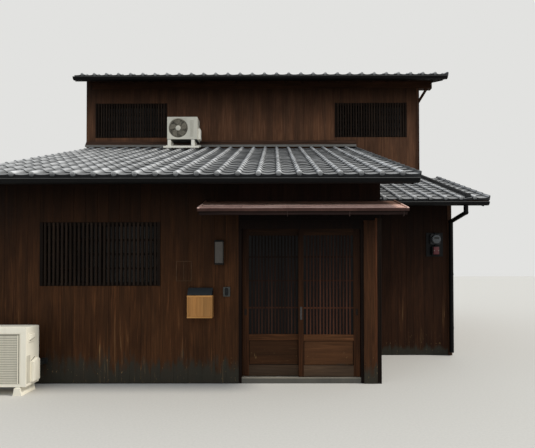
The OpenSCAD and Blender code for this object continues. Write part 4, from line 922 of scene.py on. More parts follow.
def walls():
    """Boards on the outer walls, the post beside the door and the corner strips."""
    def under(top):
        return lambda s: top(s) - DECK - RAFTER - 0.006
    door, head, over_door = DOOR0 - 0.042, 2.925, 2.3202
    kit = Kit()
    boards(kit, "front", YF, XL, door, SOLE, head, holes=[LOW_WIN], seams=[XL + WALL])
    boards(kit, "front", YF, door, XE, over_door, head, mat=1)
    kit.build("front_boards", [FRONT_WOOD, OVER_WOOD], "dark_boards")

    kit, wide, eave = Kit(), (0.13, 0.18), Y_RIGHT - 0.005
    boards(kit, "right", XE, YF, eave, SOLE, under(main_top), wide)
    boards(kit, "right", XE, eave, YR - 0.010, SOLE, under(right_top), wide)
    boards(kit, "right", XE, eave, YU - 0.012, lambda s: right_top(s) + 0.035, under(main_top),
           wide)
    kit.build("entrance_side_boards", [RECESS_WOOD], "dark_boards")

    kit, recess_head = Kit(), right_top(YR) - 0.09
    boards(kit, "front", YR, XE, XR, SOLE, recess_head, (0.12, 0.19))
    kit.build("recessed_boards", [RECESS_WOOD], "dark_boards")

    kit, wide, narrow = Kit(), (0.19, 0.25), (0.17, 0.2)
    head = up_top(YU) - DECK - RAFTER - TIE - 0.004
    z_left, z_right = main_top(YU) + 0.02, right_top(YU) + 0.02
    boards(kit, "front", YU, XL, XE, z_left, head, wide,
           [UP_WIN_L, UP_WIN_R[:1] + (XE,) + UP_WIN_R[2:]], [XL + WALL])
    boards(kit, "front", YU, XE, X_MAIN, z_left + 0.05, head, narrow, [(XE,) + UP_WIN_R[1:]])
    boards(kit, "front", YU, XE, X_MAIN, z_right, main_top(YU) - 0.03, narrow)
    boards(kit, "front", YU, X_MAIN, XR, z_right, head, wide, [(X_MAIN,) + UP_WIN_R[1:]])
    boards(kit, "front", YU, XL, XL + WALL, head + 0.001, up_top(YU) - DECK - 0.006, wide)
    kit.build("upper_boards", [UPPER_WOOD], "brown_boards")

    kit, wide = Kit(), (0.17, 0.22)
    boards(kit, "right", XR, YR, YU, SOLE, under(right_top), wide)
    boards(kit, "right", XR, YU, YB, SOLE, under(up_top), wide, seams=[Y_RIDGE])
    kit.build("right_side_boards", [SIDE_WOOD], "brown_boards")
    kit = Kit()
    boards(kit, "back", YB, XL, XR, SOLE, head, wide, BACK_WINS)
    kit.build("back_boards", [SIDE_WOOD], "brown_boards")

    kit = Kit()
    kit.bar(1.777, 1.939, YF - 0.022, YF, 0.0, 2.318, 0, 0.6, 0.004)
    kit.bar(1.940, 1.966, YF - 0.020, YF, 0.0, 2.350, 1, 0.5, 0.003)
    # the outer part of the corner and its return side take near-black frame wood: painted shade at
    # the corner
    kit.bar(1.967, XE, YF - 0.016, YF, 0.0, 2.350, 2, 0.5, 0.003)
    kit.bar(XE, XE + 0.016, YF - 0.016, YF + 0.030, 0.0, 2.350, 2, 0.4, 0.003)
    kit.build("entrance_post", [POST_WOOD, PALE_STRIP, FRAME_WOOD], "dark_boards")
    kit = Kit()
    kit.bar(XR - 0.062, XR + 0.014, YR - 0.020, YR - 0.004, 0.0, recess_head, 0, 0.4)
    for x0, x1, y0, y1, z0 in ((XR - 0.045, XR + 0.016, YU - 0.020, YU, z_right + 0.08),
                               (XR, XR + 0.016, YU - 0.020, YU + 0.045, z_right + 0.08),
                               (XR - 0.05, XR + 0.016, YB, YB + 0.018, 0.0),
                               (XR, XR + 0.016, YB - 0.05, YB + 0.018, 0.0)):
        kit.bar(x0, x1, y0, y1, z0, head, 0, 0.5)
    kit.build("corner_boards", [CORNER_WOOD], "dark_timber")


def lattice(kit, w, place):
    """Frame, bars and cross rails of a lattice window; place(s, d, z) with d towards the street."""
    fw, out, depth, half = 0.045, 0.020, 0.060, 0.015
    xa, xb, za, zb = w[0] + fw, w[1] - fw, w[2] + fw, w[3] - fw

    def beam(s0, s1, d0, d1, z0, z1, mat):
        kit.bar(s0, s1, out - d0, out - d1, z0, z1, mat, place=place)
    beam(w[0], xa, depth, 0, w[2], w[3], 1)
    beam(xb, w[1], depth, 0, w[2], w[3], 1)
    beam(xa, xb, depth, 0.020, w[2], za, 2)
    beam(xa, xb, depth, 0.020, zb, w[3], 2)
    n = round((xb - xa) / 0.061)
    for i in range(n):
        x = xa + (xb - xa) * (i + 0.5) / n + rng.uniform(-0.0008, 0.0008)
        beam(x - half, x + half, 0.0195, 0.001 - rng.uniform(-0.001, 0), w[2] + 0.006,
             w[3] - 0.006, 0)
        beam(x - half, x + half, 0.036, 0.0195, za, zb, 0)
    for i in range(1, 4):
        z = za + (zb - za) * i / 4
        beam(xa, xb, 0.046, 0.036, z - 0.012, z + 0.012, 2)


def windows():
    """The lattices of the front, of the upper storey and of the back."""
    for name, node, side, plane, wins in (
            ("lower_window_lattice", "lower_lattice", "front", YF, [LOW_WIN]),
            ("upper_window_lattices", "upper_lattices", "front", YU, [UP_WIN_L, UP_WIN_R]),
            ("back_window_lattices", "back_lattices", "back", YB, BACK_WINS)):
        kit = Kit()
        for w in wins:
            lattice(kit, w, wall_place(side, plane))
        kit.build(name, [BAR_WOOD, FRAME_WOOD, HEAD_WOOD], "dark_timber", [node])


# ------------------------------------------------------------- entrance
def leaf(name, body, x_outer, way, y0, tone):
    """A sliding leaf: stiles, rails, a fine lattice over glass, and two boards at its foot."""
    stile, meet, bottom, mid, mid_z, head = 0.095, 0.075, 0.158, 0.090, 0.600, 0.100
    right = body == "right_leaf"
    kit = Kit()

    def bar(u0, u1, d0, d1, z0, z1, mat, tone=None, c=0.002):
        xa, xb = sorted((x_outer + way * u0, x_outer + way * u1))
        kit.bar(xa, xb, y0 + d0, y0 + d1, z0, z1, mat, tone, c)
    ua, ub = stile, LEAF_W - meet
    z0, z1 = mid_z + mid, LEAF_TOP - head
    # the outer stile has a finger pull sunk into it
    pa, pb, pz0, pz1 = stile / 2 - 0.017, stile / 2 + 0.017, 1.010 - 0.045, 1.010 + 0.045
    bar(0, pa, 0, LEAF_T, LEAF_Z, LEAF_TOP, 0, 0.5)
    bar(pb, stile, 0, LEAF_T, LEAF_Z, LEAF_TOP, 0, 0.5)
    bar(pa, pb, 0, LEAF_T, LEAF_Z, pz0, 0, 0.5, 0.0004)
    bar(pa, pb, 0, LEAF_T, pz1, LEAF_TOP, 0, 0.5, 0.0004)
    bar(pa, pb, 0.008, LEAF_T, pz0, pz1, 3, 0.5, 0.0004)
    for z in (pz0, pz1 - 0.006):
        bar(pa + 0.0005, pb - 0.0005, 0.0015, 0.008, z, z + 0.006, 3, 0.4)
    bar(ub, LEAF_W, 0, LEAF_T, LEAF_Z, LEAF_TOP, 0, 0.4)
    bar(ua, ub, 0, LEAF_T, LEAF_Z, LEAF_Z + bottom, 8, tone)
    bar(ua, ub, 0, LEAF_T, mid_z, z0, 1, tone)
    bar(ua, ub, 0, LEAF_T, z1, LEAF_TOP, 1, 0.3)
    # foot panel of two boards, with a near-black bead round it: painted shade along the panel's
    # edges
    za, zb = LEAF_Z + bottom, mid_z
    zm = za + (zb - za) * 0.5
    bar(ua, ub, 0.013, 0.026, za, zm - 0.0003, 2, tone - 0.05, 0.0005)
    bar(ua, ub, 0.013, 0.026, zm + 0.0003, zb, 2, tone + 0.03, 0.0005)
    for a, b, c, d in ((ua, ub, za, za + 0.008), (ua, ub, zb - 0.008, zb),
                       (ua, ua + 0.008, za, zb), (ub - 0.008, ub, za, zb)):
        bar(a, b, 0.007, 0.013, c, d, 7, 0.5)
    n = round((ub - ua) / 0.046)
    for i in range(1, n):
        u = ua + (ub - ua) * i / n
        bar(u - 0.011, u + 0.011, 0.004, 0.0145, z0, z1, 4, None, 0.0015)
    for z in (1.070, 1.460, 1.800):
        bar(ua, ub, 0.005, 0.0145, z - 0.010, z + 0.010, 5, None, 0.0015)
    # rollers
    for u in (ua, ub):
        c = x_outer + way * u, y0 + LEAF_T / 2 + 0.004, 0.0853 + 0.015
        kit.disc(c, [(0.015, 0), (0.015, 0.008), (0.004, 0.0085)], 20, 3)
        kit.disc(c, [(0.015, 0), (0.002, 0)], 20, 3, axis=(0, 1, 0))
    if right:
        # lock plate with its knob and key slot
        um = LEAF_W - meet / 2
        bar(um - 0.015, um + 0.015, -0.004, 0, 0.905, 1.086, 6, 0.5)
        kit.disc((x_outer + way * um, y0 - 0.004, 1.040),
                 [(0.008, 0), (0.007, 0.0018), (0.001, 0.002)], 20, 6)
        bar(um - 0.0015, um + 0.0015, -0.0052, -0.004, 0.935, 0.960, 3, 0.5, 0.0004)
    # the left leaf takes darker bars: painted shade
    bars = (STILE_BAR, RAIL_BAR) if right else (LEFT_BAR, LEFT_RAIL)
    kit.build(name, [STILE_WOOD, RAIL_WOOD, PANEL_WOOD, BRASS, *bars, LOCK, FRAME_WOOD, FOOT_RAIL],
              "dark_timber", [body], body)


def canopy():
    """Copper sheets in three courses, a turned front edge, end strips, the boards and hooks."""
    x0, x1, depth, z0, rise, t = -0.483, 2.228, 0.620, 2.410, 0.312, 0.030
    sheet, rows = 0.56, 3
    ya = YF - depth

    def sloped(y, h, x):
        return x, y, z0 + rise * (y - ya) + h
    kit = Kit()
    d = (depth - 0.02) / rows
    for r in range(rows):
        y0 = ya + 0.012 + r * d
        y1 = min(y0 + d + 0.01, YF)
        x = x0 + 0.02 - (sheet / 2 if r % 2 else 0)
        while x < x1 - 0.02:
            xa, xb = max(x, x0 + 0.02), min(x + sheet, x1 - 0.02)
            if xb - xa > 0.02:
                # a sheet, and the welt that joins it to the next
                kit.prism([(y0, -0.0065), (y0, -0.0015), (y0 + 0.004, -0.0005), (y1, -0.005),
                           (y1, -0.0075)], xa + 0.0006, xb - 0.0006, 0, rng.random(), sloped)
                kit.prism([(y0, -0.0015), (y0, 0.001), (y1 - 0.01, -0.0025),
                           (y1 - 0.01, -0.0045)], xb - 0.009, xb, 0, rng.random(), sloped)
            x += sheet
    # front edge: a folded lip with a rounded top, and a lower step behind it
    lip = ((0.001, -0.0065), (0.001, -0.004), (0.003, -0.0015), (0.007, 0.0005), (0.014, 0.003),
           (0.022, 0.0052), (0.022, -0.004), (0.010, -0.0065))
    drop = ((0.002, -0.040), (0, -0.036), (0, -0.009), (0.002, -0.006), (0.009, -0.006),
            (0.009, -0.040))
    for a, b in split(x0, x1, 4):
        a, b = max(x0, a + 0.0004 * (a > x0)), b - 0.0004 * (b < x1 - 0.001)
        for sec, m in ((lip, 1), (drop, 2)):
            kit.prism([(ya + p, z0 + q) for p, q in sec], a, b, m, rng.uniform(0.4, 0.8))
    kit.prism([(ya + p, z0 + q) for p, q in ((0.009, -0.050), (0.009, -0.012), (0.020, -0.012),
                                             (0.020, -0.050))], x0 + 0.012, x1 - 0.012, 3, 0.0)
    for xa, xb in ((x0, x0 + 0.028), (x1 - 0.028, x1)):
        sec = [(xa, -0.030), (xa, 0.004), (xa + 0.005, 0.0095), (xb - 0.005, 0.0095), (xb, 0.004),
               (xb, -0.030)]
        kit.prism(sec, ya + 0.002, YF, 0, 0.6, lambda p, q, y: sloped(y, q, p))
    kit.build("canopy_copper", [COPPER, LIP, DROP, EAVE_WOOD], "canopy_sheet", ["canopy"])

    kit, y = Kit(), ya + 0.022
    while y < YF - 0.01:
        w = min(0.118, YF - y)
        e = y + w - 0.002
        kit.prism([(y, -t + 0.002), (y, -0.0085), (e, -0.0085), (e, -t + 0.002), (e - 0.002, -t),
                   (y + 0.002, -t)], x0 + 0.012, x1 - 0.012, 0, rng.random(), sloped)
        y += w
    y, z = ya + 0.014, z0 - 0.092
    for x in (0.673, 1.470, 2.163):
        bend = [(x, y + 0.010 * (1 - math.cos(a)), z - 0.012 * math.sin(a))
                for a in (math.pi * k / 6 for k in range(1, 7))]
        kit.tube([(x, y, z0 - 0.036), (x, y, z), *bend], 0.0042, 8, 1, 0.5)
        kit.disc((x, y, z0 - 0.040), [(0.009, 0), (0.009, 0.004), (0.004, 0.006)], 16, 1,
                 axis=(0, 0, -1))
    kit.build("canopy_boards", [HEAD_WOOD, HOOK], "dark_timber")


def blind_hatch():
    """Outline of a small hatch on the front wall, with a bar up its middle."""
    kit = Kit()
    for x0, x1, z0, z1 in ((-0.897, -0.677, 1.735, 1.743), (-0.897, -0.677, 1.457, 1.464),
                           (-0.897, -0.889, 1.464, 1.735), (-0.685, -0.677, 1.464, 1.735),
                           (-0.790, -0.784, 1.464, 1.735)):
        kit.bar(x0, x1, YF - 0.0135, YF - 0.008, z0, z1, 0, 0.6, 0.001)
    kit.build("blind_hatch", [HATCH], "dark_timber")


def sill():
    """Stone sill with its two rails."""
    kit = Kit()
    kit.bar(DOOR0, DOOR1, YF, YF + WALL, 0.0, 0.068, 0, 0.5, 0.003)
    kit.bar(DOOR0, DOOR1, YF + 0.001, YF + WALL, 0.068, 0.080, 2, 0.5, 0.004)
    for y in (Y_OUTER + LEAF_T / 2, Y_INNER + LEAF_T / 2):
        kit.bar(DOOR0, DOOR1, y - 0.003, y + 0.003, 0.080, 0.085, 1, 0.5, 0.001)
    kit.build("entrance_sill", [STONE, STEEL, SILL_EDGE], "sill_stone", ["door_sill"])


# ------------------------------------------------------------- small fittings
def lamp():
    """Wall lamp: a thin dark frame round milky glass, under a small cap."""
    lo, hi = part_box("lamp")
    kit = Kit()
    post, plate, foot, cap = 0.008, 0.022, lo.z + 0.014, hi.z - 0.022

    def bar(*box):
        kit.bar(*box, 0, 0.5, 0.001)
    # a black back plate, 22 mm wider than the lamp all round: its dark border is partly painted
    # shadow on the wall
    bar(lo.x - plate, hi.x + plate, hi.y - 0.008, hi.y, lo.z - plate, hi.z + plate)
    bar(lo.x, hi.x, lo.y, hi.y, lo.z, foot)
    for x in (lo.x, hi.x - post):
        for y in (lo.y, hi.y - post):
            bar(x, x + post, y, y + post, foot, cap)
    for z in (foot, cap - post):
        bar(lo.x, hi.x, lo.y, lo.y + post, z, z + post)
        for x in (lo.x, hi.x - post):
            bar(x, x + post, lo.y + post, hi.y - post, z, z + post)
    kit.bar(lo.x + 0.004, hi.x - 0.004, lo.y + 0.004, hi.y, lo.z + 0.016, hi.z - 0.024, 1, 0.5)
    kit.casing(lo.x, hi.x, lo.y, hi.y, 0.006, [(cap, 0), (hi.z - 0.012, 0), (hi.z - 0.010, 0.003),
                                              (hi.z - 0.003, 0.012), (hi.z, 0.020)],
               place=lambda x, y, z: (x, z, y))
    kit.build("wall_lamp", [LAMP_METAL, LAMP_GLASS], "lamp_metal", ["lamp"])


def letter_box():
    """Wooden letter box with a framed face, a slot and a dark hood that slopes to the front."""
    lo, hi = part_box("mailbox")
    kit = Kit()
    f, ya, z1 = 0.024, lo.y, lo.z + 0.75 * (hi.z - lo.z)
    kit.bar(lo.x + 0.001, hi.x - 0.001, ya + 0.012, hi.y, lo.z + 0.001, z1 - 0.0005, 0, 0.5)
    for a, b, c, d, m in ((lo.x, hi.x, lo.z, lo.z + f, 1), (lo.x, hi.x, z1 - f, z1, 1),
                          (lo.x, lo.x + f, lo.z + f, z1 - f, 0),
                          (hi.x - f, hi.x, lo.z + f, z1 - f, 0)):
        kit.bar(a, b, ya, ya + 0.013, c, d, m, rng.uniform(0.5, 0.9))
    for a, b in split(lo.x + f, hi.x - f, 3):
        kit.bar(a + 0.0004, b - 0.0004, ya + 0.005, ya + 0.012, lo.z + f, z1 - f, 0,
                rng.uniform(0.2, 0.6), 0.001)
    hood = [(hi.y, z1), (hi.y, hi.z), (hi.y - 0.0585, hi.z), (hi.y - 0.062, hi.z - 0.001),
            (ya + 0.008, z1 + f + 0.002), (ya + 0.006, z1 + f - 0.002), (ya + 0.006, z1)]
    kit.prism(hood, lo.x + 0.006, hi.x - 0.006, 2)
    kit.prism(rect(ya + 0.004, ya + 0.008, z1 + 0.003, z1 + 0.012), lo.x + 0.03, hi.x - 0.03, 3)
    kit.tube([(x, hi.y - 0.060, hi.z - 0.0045) for x in (lo.x + 0.02, hi.x - 0.02)], 0.0035, 10, 2)
    kit.build("letter_box", [BOX_WOOD, BOX_RAIL, NAVY, BLACK], "box_wood", ["mailbox"])


def door_phone():
    """Door phone: a dark case with a plate that holds a lens, a call button and three slots."""
    lo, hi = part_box("door_phone")
    kit, x, y = Kit(), (lo.x + hi.x) / 2, lo.y
    kit.casing(lo.x, hi.x, lo.z, hi.z, 0.010,
               [(hi.y, 0), (y + 0.008, 0), (y + 0.0045, 0.002), (y + 0.003, 0.006)])
    kit.casing(x - 0.027, x + 0.027, lo.z + 0.012, hi.z - 0.012, 0.024,
               [(y + 0.0035, 0), (y + 0.002, 0.0005), (y + 0.0015, 0.003)], 1)
    for z, r in ((hi.z - 0.040, 0.0165), (lo.z + 0.038, 0.0145)):
        kit.disc((x, y + 0.0018, z), [(r, 0), (r - 0.001, 0.0014), (r - 0.005, 0.0012, 1),
                                      (0.001, 0.0008, 1)], 28, 2)
    for k in range(3):
        z = (lo.z + hi.z) / 2 + 0.005 * (k - 1)
        kit.bar(x - 0.010, x + 0.010, y + 0.0008, y + 0.002, z - 0.001, z + 0.001, 2, 0.5, 0.0003)
    kit.build("door_phone_case", [PHONE, BLACK, CASE_DARK], "phone_case", ["door_phone"])


def meters():
    """Board with an electricity meter under a glass dome, and a breaker box below it."""
    lo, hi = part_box("meter_board")
    kit = Kit()
    yb, xm, w, h = hi.y - 0.022, (lo.x + hi.x) / 2, 0.190, hi.z - lo.z
    zc, zm = lo.z + 0.5 * h, lo.z + 0.72 * h
    kit.casing(lo.x, hi.x, lo.z, hi.z, 0.004, [(hi.y, 0), (yb + 0.002, 0), (yb, 0.002)])
    kit.casing(xm - w / 2, xm + w / 2, zc, zc + 0.44 * h, 0.030,
               [(yb, 0), (yb - 0.045, 0), (yb - 0.050, 0.004)], 1)
    kit.disc((xm, yb - 0.048, zm),
             [(0.088, 0), (0.086, 0.012), (0.080, 0.016), (0.0795, 0.050, 2), (0.072, 0.058, 2),
              (0.055, 0.0605, 2), (0.001, 0.0615, 2)], 40, 1)
    kit.bar(xm - 0.045, xm + 0.045, yb - 0.1098, yb - 0.104, zm + 0.004, zm + 0.034, 3, 0.5, 0.001)
    kit.casing(xm - 0.4 * w, xm + 0.4 * w, lo.z + 0.06 * h, lo.z + 0.42 * h, 0.012,
               [(yb, 0), (yb - 0.060, 0), (yb - 0.066, 0.004)])
    kit.casing(xm - 0.28 * w, xm + 0.28 * w, lo.z + 0.08 * h, lo.z + 0.40 * h, 0.012,
               [(yb - 0.060, 0), (yb - 0.080, 0), (yb - 0.086, 0.004), (yb - 0.088, 0.009)], 4)
    for s in (-1, 1):
        kit.disc((xm + s * 0.040, yb - 0.088, lo.z + 0.24 * h),
                 [(0.006, -0.002), (0.006, 0.002), (0.001, 0.0025)], 14, 5)
    for za, zb in ((hi.z - 0.045, hi.z - 0.004), (lo.z + 0.41 * h, zc + 0.01)):
        kit.tube([(xm, yb - 0.030, za), (xm, yb - 0.030, zb)], 0.012, 14)
    kit.build("meters", [METER_BOARD, METER_PALE, METER_GLASS, CASE_DARK, METER_RED, STEEL],
              "meter_case", ["meter_board"])


def round_hole(kit, x0, x1, z0, z1, cx, cz, r, y, mat, steps=48):
    """A flat front with a round hole, its rim turned in."""
    corners = [math.atan2(z - cz, x - cx) % (2 * math.pi) for x in (x0, x1) for z in (z0, z1)]
    rows = []
    for a in sorted({round(a, 6) for a in turns(steps) + corners}):
        c, s = math.cos(a), math.sin(a)
        out = min(((x1 if c > 0 else x0) - cx) / c if abs(c) > 1e-9 else 1e9,
                  ((z1 if s > 0 else z0) - cz) / s if abs(s) > 1e-9 else 1e9)
        rows.append([kit.vert((cx + t * c, y + e, cz + t * s)) for t, e in (
            (out, 0), (r, 0), (r - 0.004, 0.002), (r - 0.010, 0.012), (r - 0.010, 0.040))])
    for a, b in zip(rows, rows[1:] + rows[:1]):
        for k in range(len(a) - 1):
            kit.face((a[k], b[k], b[k + 1], a[k + 1]), mat)


def fan_unit():
    """The unit on the front roof: case, fan behind a wire guard, louvres, legs and rails."""
    lo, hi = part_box("roof_condenser")
    w, h, wire = 0.656, 0.493, 0.0016
    xm, y0, y1, z1 = XL + 2.336, lo.y, hi.y, hi.z
    x0, x1, z0 = xm - w / 2, xm + w / 2, z1 - h
    fx, fz, fr = xm - 0.135 * w, z0 + 0.505 * h, 0.43 * h

    def at(rad, t, dy):
        """A point rad away from the fan's axis."""
        return fx + rad * math.cos(t), y0 + dy, fz + rad * math.sin(t)
    kit = Kit()
    kit.casing(x0, x1, z0, z1, 0.016,
               [(y1, 0.004), (y1 - 0.004, 0), (y0 + 0.012, 0), (y0 + 0.008, 0.0015)], front=False)
    # the front: a plate round the fan's hole, and the rest beside it
    xs, za, zb = fx + fr + 0.030, z0 + 0.004, z1 - 0.004
    round_hole(kit, x0 + 0.003, xs, za, zb, fx, fz, fr, y0 + 0.004, 0)
    kit.bar(x0 + 0.003, xs, y0 + 0.0045, y0 + 0.0085, za, z0 + 0.012, 0, 0.5, 0.0005)
    kit.bar(xs, x1 - 0.003, y0 + 0.004, y0 + 0.010, za, zb, 0, 0.5, 0.0015)
    for k in range(16):
        z = z0 + 0.075 + k * 0.0225
        kit.prism([(y0 + 0.0042, z), (y0 + 0.0005, z + 0.002), (y0 + 0.0042, z + 0.013)],
                  xs + 0.018, xs + 0.094)
        kit.prism([(y0 + 0.0038, z - 0.004), (y0 + 0.0034, z - 0.004), (y0 + 0.0034, z),
                   (y0 + 0.0038, z)], xs + 0.019, xs + 0.093, 2)
    # fan
    kit.disc(at(0, 0, 0.038), [(fr - 0.008, -0.002), (fr - 0.009, 0), (0.001, 0.0005)], 40, 1)
    for a0 in turns(5):
        loops = []
        for f in (t / 6 for t in range(7)):
            rad = 0.035 + f * (fr - 0.055)
            half = 0.30 + 0.18 * math.sin(math.pi * min(1, f * 1.1))
            loops.append([at(rad, a0 + 0.5 * f + u * half, 0.024 - u * 0.008 + side * 0.001)
                          for u, side in ((-1, 1), (1, 1), (1, -1), (-1, -1))])
        kit.rings(loops, 2)
    kit.disc(at(0, 0, 0.034), [(0.045, 0), (0.044, 0.014), (0.034, 0.018), (0.001, 0.019)], 28, 2)
    # near-black plate under the case: painted shadow under the unit
    kit.bar(x0 + 0.006, x1 - 0.006, y0 + 0.004, y1 - 0.004, z0 - 0.002, z0 + 0.001, 1, 0.5, 0.0004)
    # guard
    for k in range(11):
        rad = 0.056 + k * (fr - 0.062) / 10
        kit.tube([at(rad, t, 0.006 - 0.003 * math.cos(math.pi / 2 * rad / fr)) for t in turns(44)],
                 wire, 6, 3, closed=True)
    for t in turns(12):
        kit.tube([at(0.05, t, 0.0065), at(0.13, t, 0.008), at(fr - 0.002, t, 0.009)], wire, 6, 3)
    kit.disc(at(0, 0, 0.008), [(0.058, 0), (0.057, 0.005), (0.050, 0.0072), (0.001, 0.0078)], 36)
    # valve cover on the right side, its top and foot sloped
    kit.cover(((0.0, 0.0), (0.042, 0.002), (0.048, 0.006), (0.0515, 0.014)),
              lambda i: ((y0 + 0.100 + i, z0 + 0.030 + i * 0.8),
                         (y1 - 0.042 - i, z0 + 0.030 + i * 0.8),
                         (y1 - 0.042 - i, z0 + 0.270 - i * 1.3),
                         (y0 + 0.100 + i, z0 + 0.270 - i * 1.3)),
              lambda y, g, z: (x1 - 0.004 + g, y, z), 4)
    # legs and rails, on the tiles
    tile_z, leg_w, rail = ROLL / CS, 0.070, 0.040
    ya, yb = y0 + 0.005, y1 - 0.005
    legs = (x0 + 0.011, x1 - 0.064 - leg_w)
    x_rail = (legs[0] + legs[1] + leg_w) / 2
    for x in legs:
        for a, b in ((ya, ya + rail), (yb - rail, yb)):
            kit.bar(x, x + leg_w, a, b, main_top(b) + tile_z + rail, z0 - 0.012, 4, 0.5, 0.003)
        kit.bar(x, x + leg_w, ya, yb, z0 - 0.014, z0, 4, 0.5)
    for y in (ya, yb - rail):
        z = main_top(y + rail) + tile_z
        kit.bar(x_rail - 0.385, x_rail + 0.385, y, y + rail, z, z + rail, 4, 0.5, 0.004)
        for x in legs:
            kit.disc((x + leg_w / 2, y + 0.020, z + rail), [(0.010, 0), (0.010, 0.005),
                                                            (0.005, 0.006)], 6, 5, axis=(0, 0, 1))
    kit.build("roof_unit", [CASE_ROOF, CASE_DARK, FIN, GUARD, RAIL_METAL, STEEL], "unit_case",
              ["roof_condenser"])


def louvre_unit():
    """The unit beside the front wall: a frame of slats, covers on its side, its duct and feet."""
    d, h, leg = 0.290, 0.767, 0.108
    x0, x1, y0 = -3.485, -2.705, -5.175
    y1, z0, z1 = y0 + d, leg, leg + h
    kit = Kit()
    kit.casing(x0, x1, z0, z1, 0.014,
               [(y1, 0.004), (y1 - 0.004, 0), (y0 + 0.014, 0), (y0 + 0.010, 0.002)])
    ga, gb, gc, gd = x0 + 0.022, x1 - 0.075, z0 + 0.035, z1 - 0.070
    # the front plate, round a sunk field
    for a, b, c, e in ((x0 + 0.002, x1 - 0.002, gd, z1 - 0.002),
                       (x0 + 0.002, x1 - 0.002, z0 + 0.002, gc),
                       (x0 + 0.002, ga, gc, gd), (gb, x1 - 0.002, gc, gd)):
        kit.bar(a, b, y0 + 0.002, y0 + 0.012, c, e, 0, 0.5, 0.0015)
    kit.bar(ga, gb, y0 + 0.0085, y0 + 0.010, gc, gd, 5, 0.5, 0.0004)
    # a raised rim round the field, and an upright bar beside the slats
    for a, b, c, e in ((ga, gb, gd - 0.012, gd - 0.002), (ga, gb, gc + 0.002, gc + 0.010),
                       (ga + 0.001, ga + 0.010, gc, gd), (gb - 0.012, gb - 0.002, gc, gd),
                       (gb - 0.040, gb - 0.030, gc, gd - 0.030)):
        kit.bar(a, b, y0 + 0.0005, y0 + 0.009, c, e, 0, 0.5)
    for z, ze in split(gc + 0.016, gd - 0.034, 20):
        kit.prism([(y0 + 0.009, z + 0.001), (y0 + 0.0028, z + 0.0035),
                   (y0 + 0.0034, z + 0.75 * (ze - z)), (y0 + 0.009, ze - 0.003)],
                  ga + 0.014, gb - 0.044, 2)

    # side: a hand hold above, a valve cover below
    def on_side(y, out, z):
        return x1 + out, y0 + y, z0 + z
    kit.casing(0.045, 0.185, 0.565, 0.690, 0.012, [(-0.002, 0), (0.006, 0), (0.009, 0.004)],
               place=on_side)
    kit.cover(((0.008, 0.0), (0.026, 0.006), (0.029, 0.012)),
              lambda i: ((0.060 + i, 0.598 + i), (0.170 - i, 0.626), (0.170 - i, 0.676 - i),
                         (0.060 + i, 0.676 - i)), on_side)
    # a thin dark strip under the hand hold's cover: painted shadow line
    kit.cover(((0.0085, 0), (0.0095, 0)),
              lambda i: ((0.062, 0.586), (0.172, 0.614), (0.172, 0.625), (0.062, 0.597)),
              on_side, 1)
    kit.cover(((-0.002, 0.0), (0.036, 0.002), (0.044, 0.007), (0.0475, 0.016)),
              lambda i: ((0.100 + i, 0.046 + i), (0.246 - i, 0.046 + i),
                         (0.246 - i, 0.330 - 1.2 * i), (0.200 - i, 0.352 - 1.2 * i),
                         (0.100 + i, 0.310 - 1.2 * i)), on_side)
    # a thin dark strip along the valve cover's top: painted shadow line
    kit.cover(((0.001, 0), (0.002, 0)),
              lambda i: ((0.104, 0.315), (0.196, 0.354), (0.196, 0.362), (0.104, 0.323)),
              on_side, 1)
    kit.casing(0.012, 0.090, 0.040, 0.400, 0.006, [(-0.001, 0), (0.0015, 0), (0.0025, 0.0015)], 3,
               on_side)
    # duct to the wall
    xd = x1 - 0.090
    kit.casing(xd, xd + 0.060, 0.300, 0.360, 0.008, [(y1 - 0.010, 0), (YF - 0.030, 0)], 1)
    kit.casing(xd - 0.012, xd + 0.072, 0.288, 0.372, 0.012,
               [(YF, 0), (YF - 0.026, 0), (YF - 0.030, 0.004)], 1)
    # feet
    for x in (x0 + 0.060, x1 - 0.160):
        sec = [(x + p, q) for p, q in ((-0.010, 0), (0.110, 0), (0.104, 0.012), (0.092, 0.070),
                                       (0.090, 0.096), (0.010, 0.096), (0.008, 0.070),
                                       (-0.004, 0.012))]
        kit.prism(sec, y0 - 0.010, y1 + 0.010, place=lambda p, q, r: (p, r, q))
        kit.bar(x + 0.020, x + 0.080, y0 + 0.004, y1 - 0.004, 0.095, leg, 4, 0.5)
    kit.build("yard_unit", [CASE, CASE_DARK, CASE_SLAT, CASE_PLATE, RAIL_METAL, CASE_GROOVE],
              "unit_case", ["yard_condenser"])


# ------------------------------------------------------------- everything together
CARRIED = (
    (PARTY, "left_party_wall"), (SIDE_CORE, "right_side_wall entrance_side_wall"),
    (FRONT_CORE, "front_wall wall_over_door wing_wall recessed_wall upper_front_wall"),
    (BACK_CORE, "back_wall"), (DOMA, "floor_slab"), (FLOOR_WOOD, "upper_floor"),
    (TIMBER_X, "beams"), (TIMBER_Y, "main_rafters right_rafters upper_rafters"),
    (TIMBER_Z, "strut"), (VERGE_WOOD, "verge_boards upper_verge_boards"),
    (EAVE_WOOD, "eave_boards"), (GUTTER, "lower_gutters upper_gutters downpipe"),
    (CANOPY_WOOD, "canopy_frame"), (SASH_WOOD, "window_frames"), (GLASS, "window_glass"),
    (JAMB_WOOD, "door_frame"), (DOOR_GLASS, "left_glass right_glass"))


def dress():
    """Materials for the CAD nodes whose shape is right as it is."""
    for mat, nodes in CARRIED:
        for node in nodes.split():
            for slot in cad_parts[node].material_slots:
                slot.material = mat


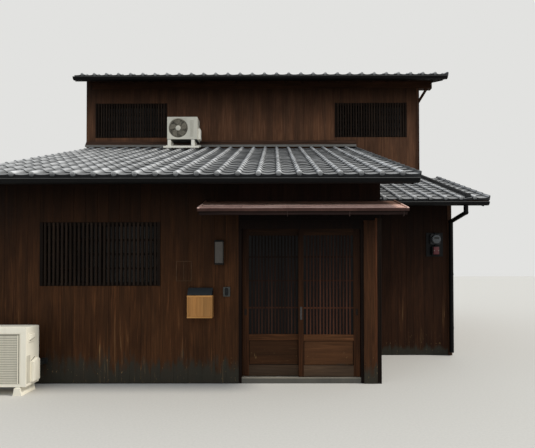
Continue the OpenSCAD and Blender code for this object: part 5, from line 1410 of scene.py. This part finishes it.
def floor():
    """The studio's pale floor."""
    me, r, z = bpy.data.meshes.new("floor"), 60.0, -0.001
    me.from_pydata([(-r, -r, z), (r, -r, z), (r, r, z), (-r, r, z)], [], [(0, 1, 2, 3)])
    ob = placed("floor", me)
    n = Nodes("floor")
    fine = n.noise(40, 3)
    col = n.ramp(fine, (0.3, rgb((194, 191, 184))), (0.7, rgb((200, 197, 190))))
    me.materials.append(n.done(col, n.span(fine, 0, 1, 0.85, 0.95), Specular_IOR_Level=0.1))


def light():
    """Soft light from all round, which camera, glossy and transmission rays see as a pale
    backdrop, and a sun."""
    world = bpy.context.scene.world = bpy.data.worlds.new("studio")
    world.use_nodes = True
    t = world.node_tree
    t.nodes.clear()
    path = t.nodes.new("ShaderNodeLightPath")
    seen = path.outputs["Is Camera Ray"]
    for ray in ("Is Glossy Ray", "Is Transmission Ray"):
        either = t.nodes.new("ShaderNodeMath")
        either.operation = "MAXIMUM"
        t.links.new(seen, either.inputs[0])
        t.links.new(path.outputs[ray], either.inputs[1])
        seen = either.outputs[0]
    mix = t.nodes.new("ShaderNodeMixShader")
    t.links.new(seen, mix.inputs[0])
    for i, colour, strength in ((1, (0.86, 0.92, 1.0), 0.86), (2, rgb((226, 226, 224)), 1.0)):
        glow = t.nodes.new("ShaderNodeBackground")
        glow.inputs["Color"].default_value = (*colour, 1)
        glow.inputs["Strength"].default_value = strength
        t.links.new(glow.outputs[0], mix.inputs[i])
    t.links.new(mix.outputs[0], t.nodes.new("ShaderNodeOutputWorld").inputs["Surface"])
    data = bpy.data.lights.new("sun", "SUN")
    data.energy = 2.3
    data.angle = math.radians(8)
    data.color = (1.0, 0.965, 0.90)
    sun = placed("sun", data)
    sun.rotation_euler = Vector((-0.75, 0.14, -0.85)).to_track_quat("-Z", "Y").to_euler()


# All pieces share one run of random numbers, so this order stays.
tiles()
ridge()
flashing()
gutter_beads()
roof_boards()
walls()
windows()
# The left leaf's low tone darkens its rails and panels against the right leaf's: painted shade.
leaf("left_door", "left_leaf", 0.041, 1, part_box("left_leaf")[0].y, 0.1)
leaf("right_door", "right_leaf", 1.728, -1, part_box("right_leaf")[0].y + 0.006, 0.9)
canopy()
blind_hatch()
sill()
lamp()
letter_box()
door_phone()
meters()
fan_unit()
louvre_unit()
dress()
floor()
light()
bpy.context.scene.view_settings.view_transform = "Standard"
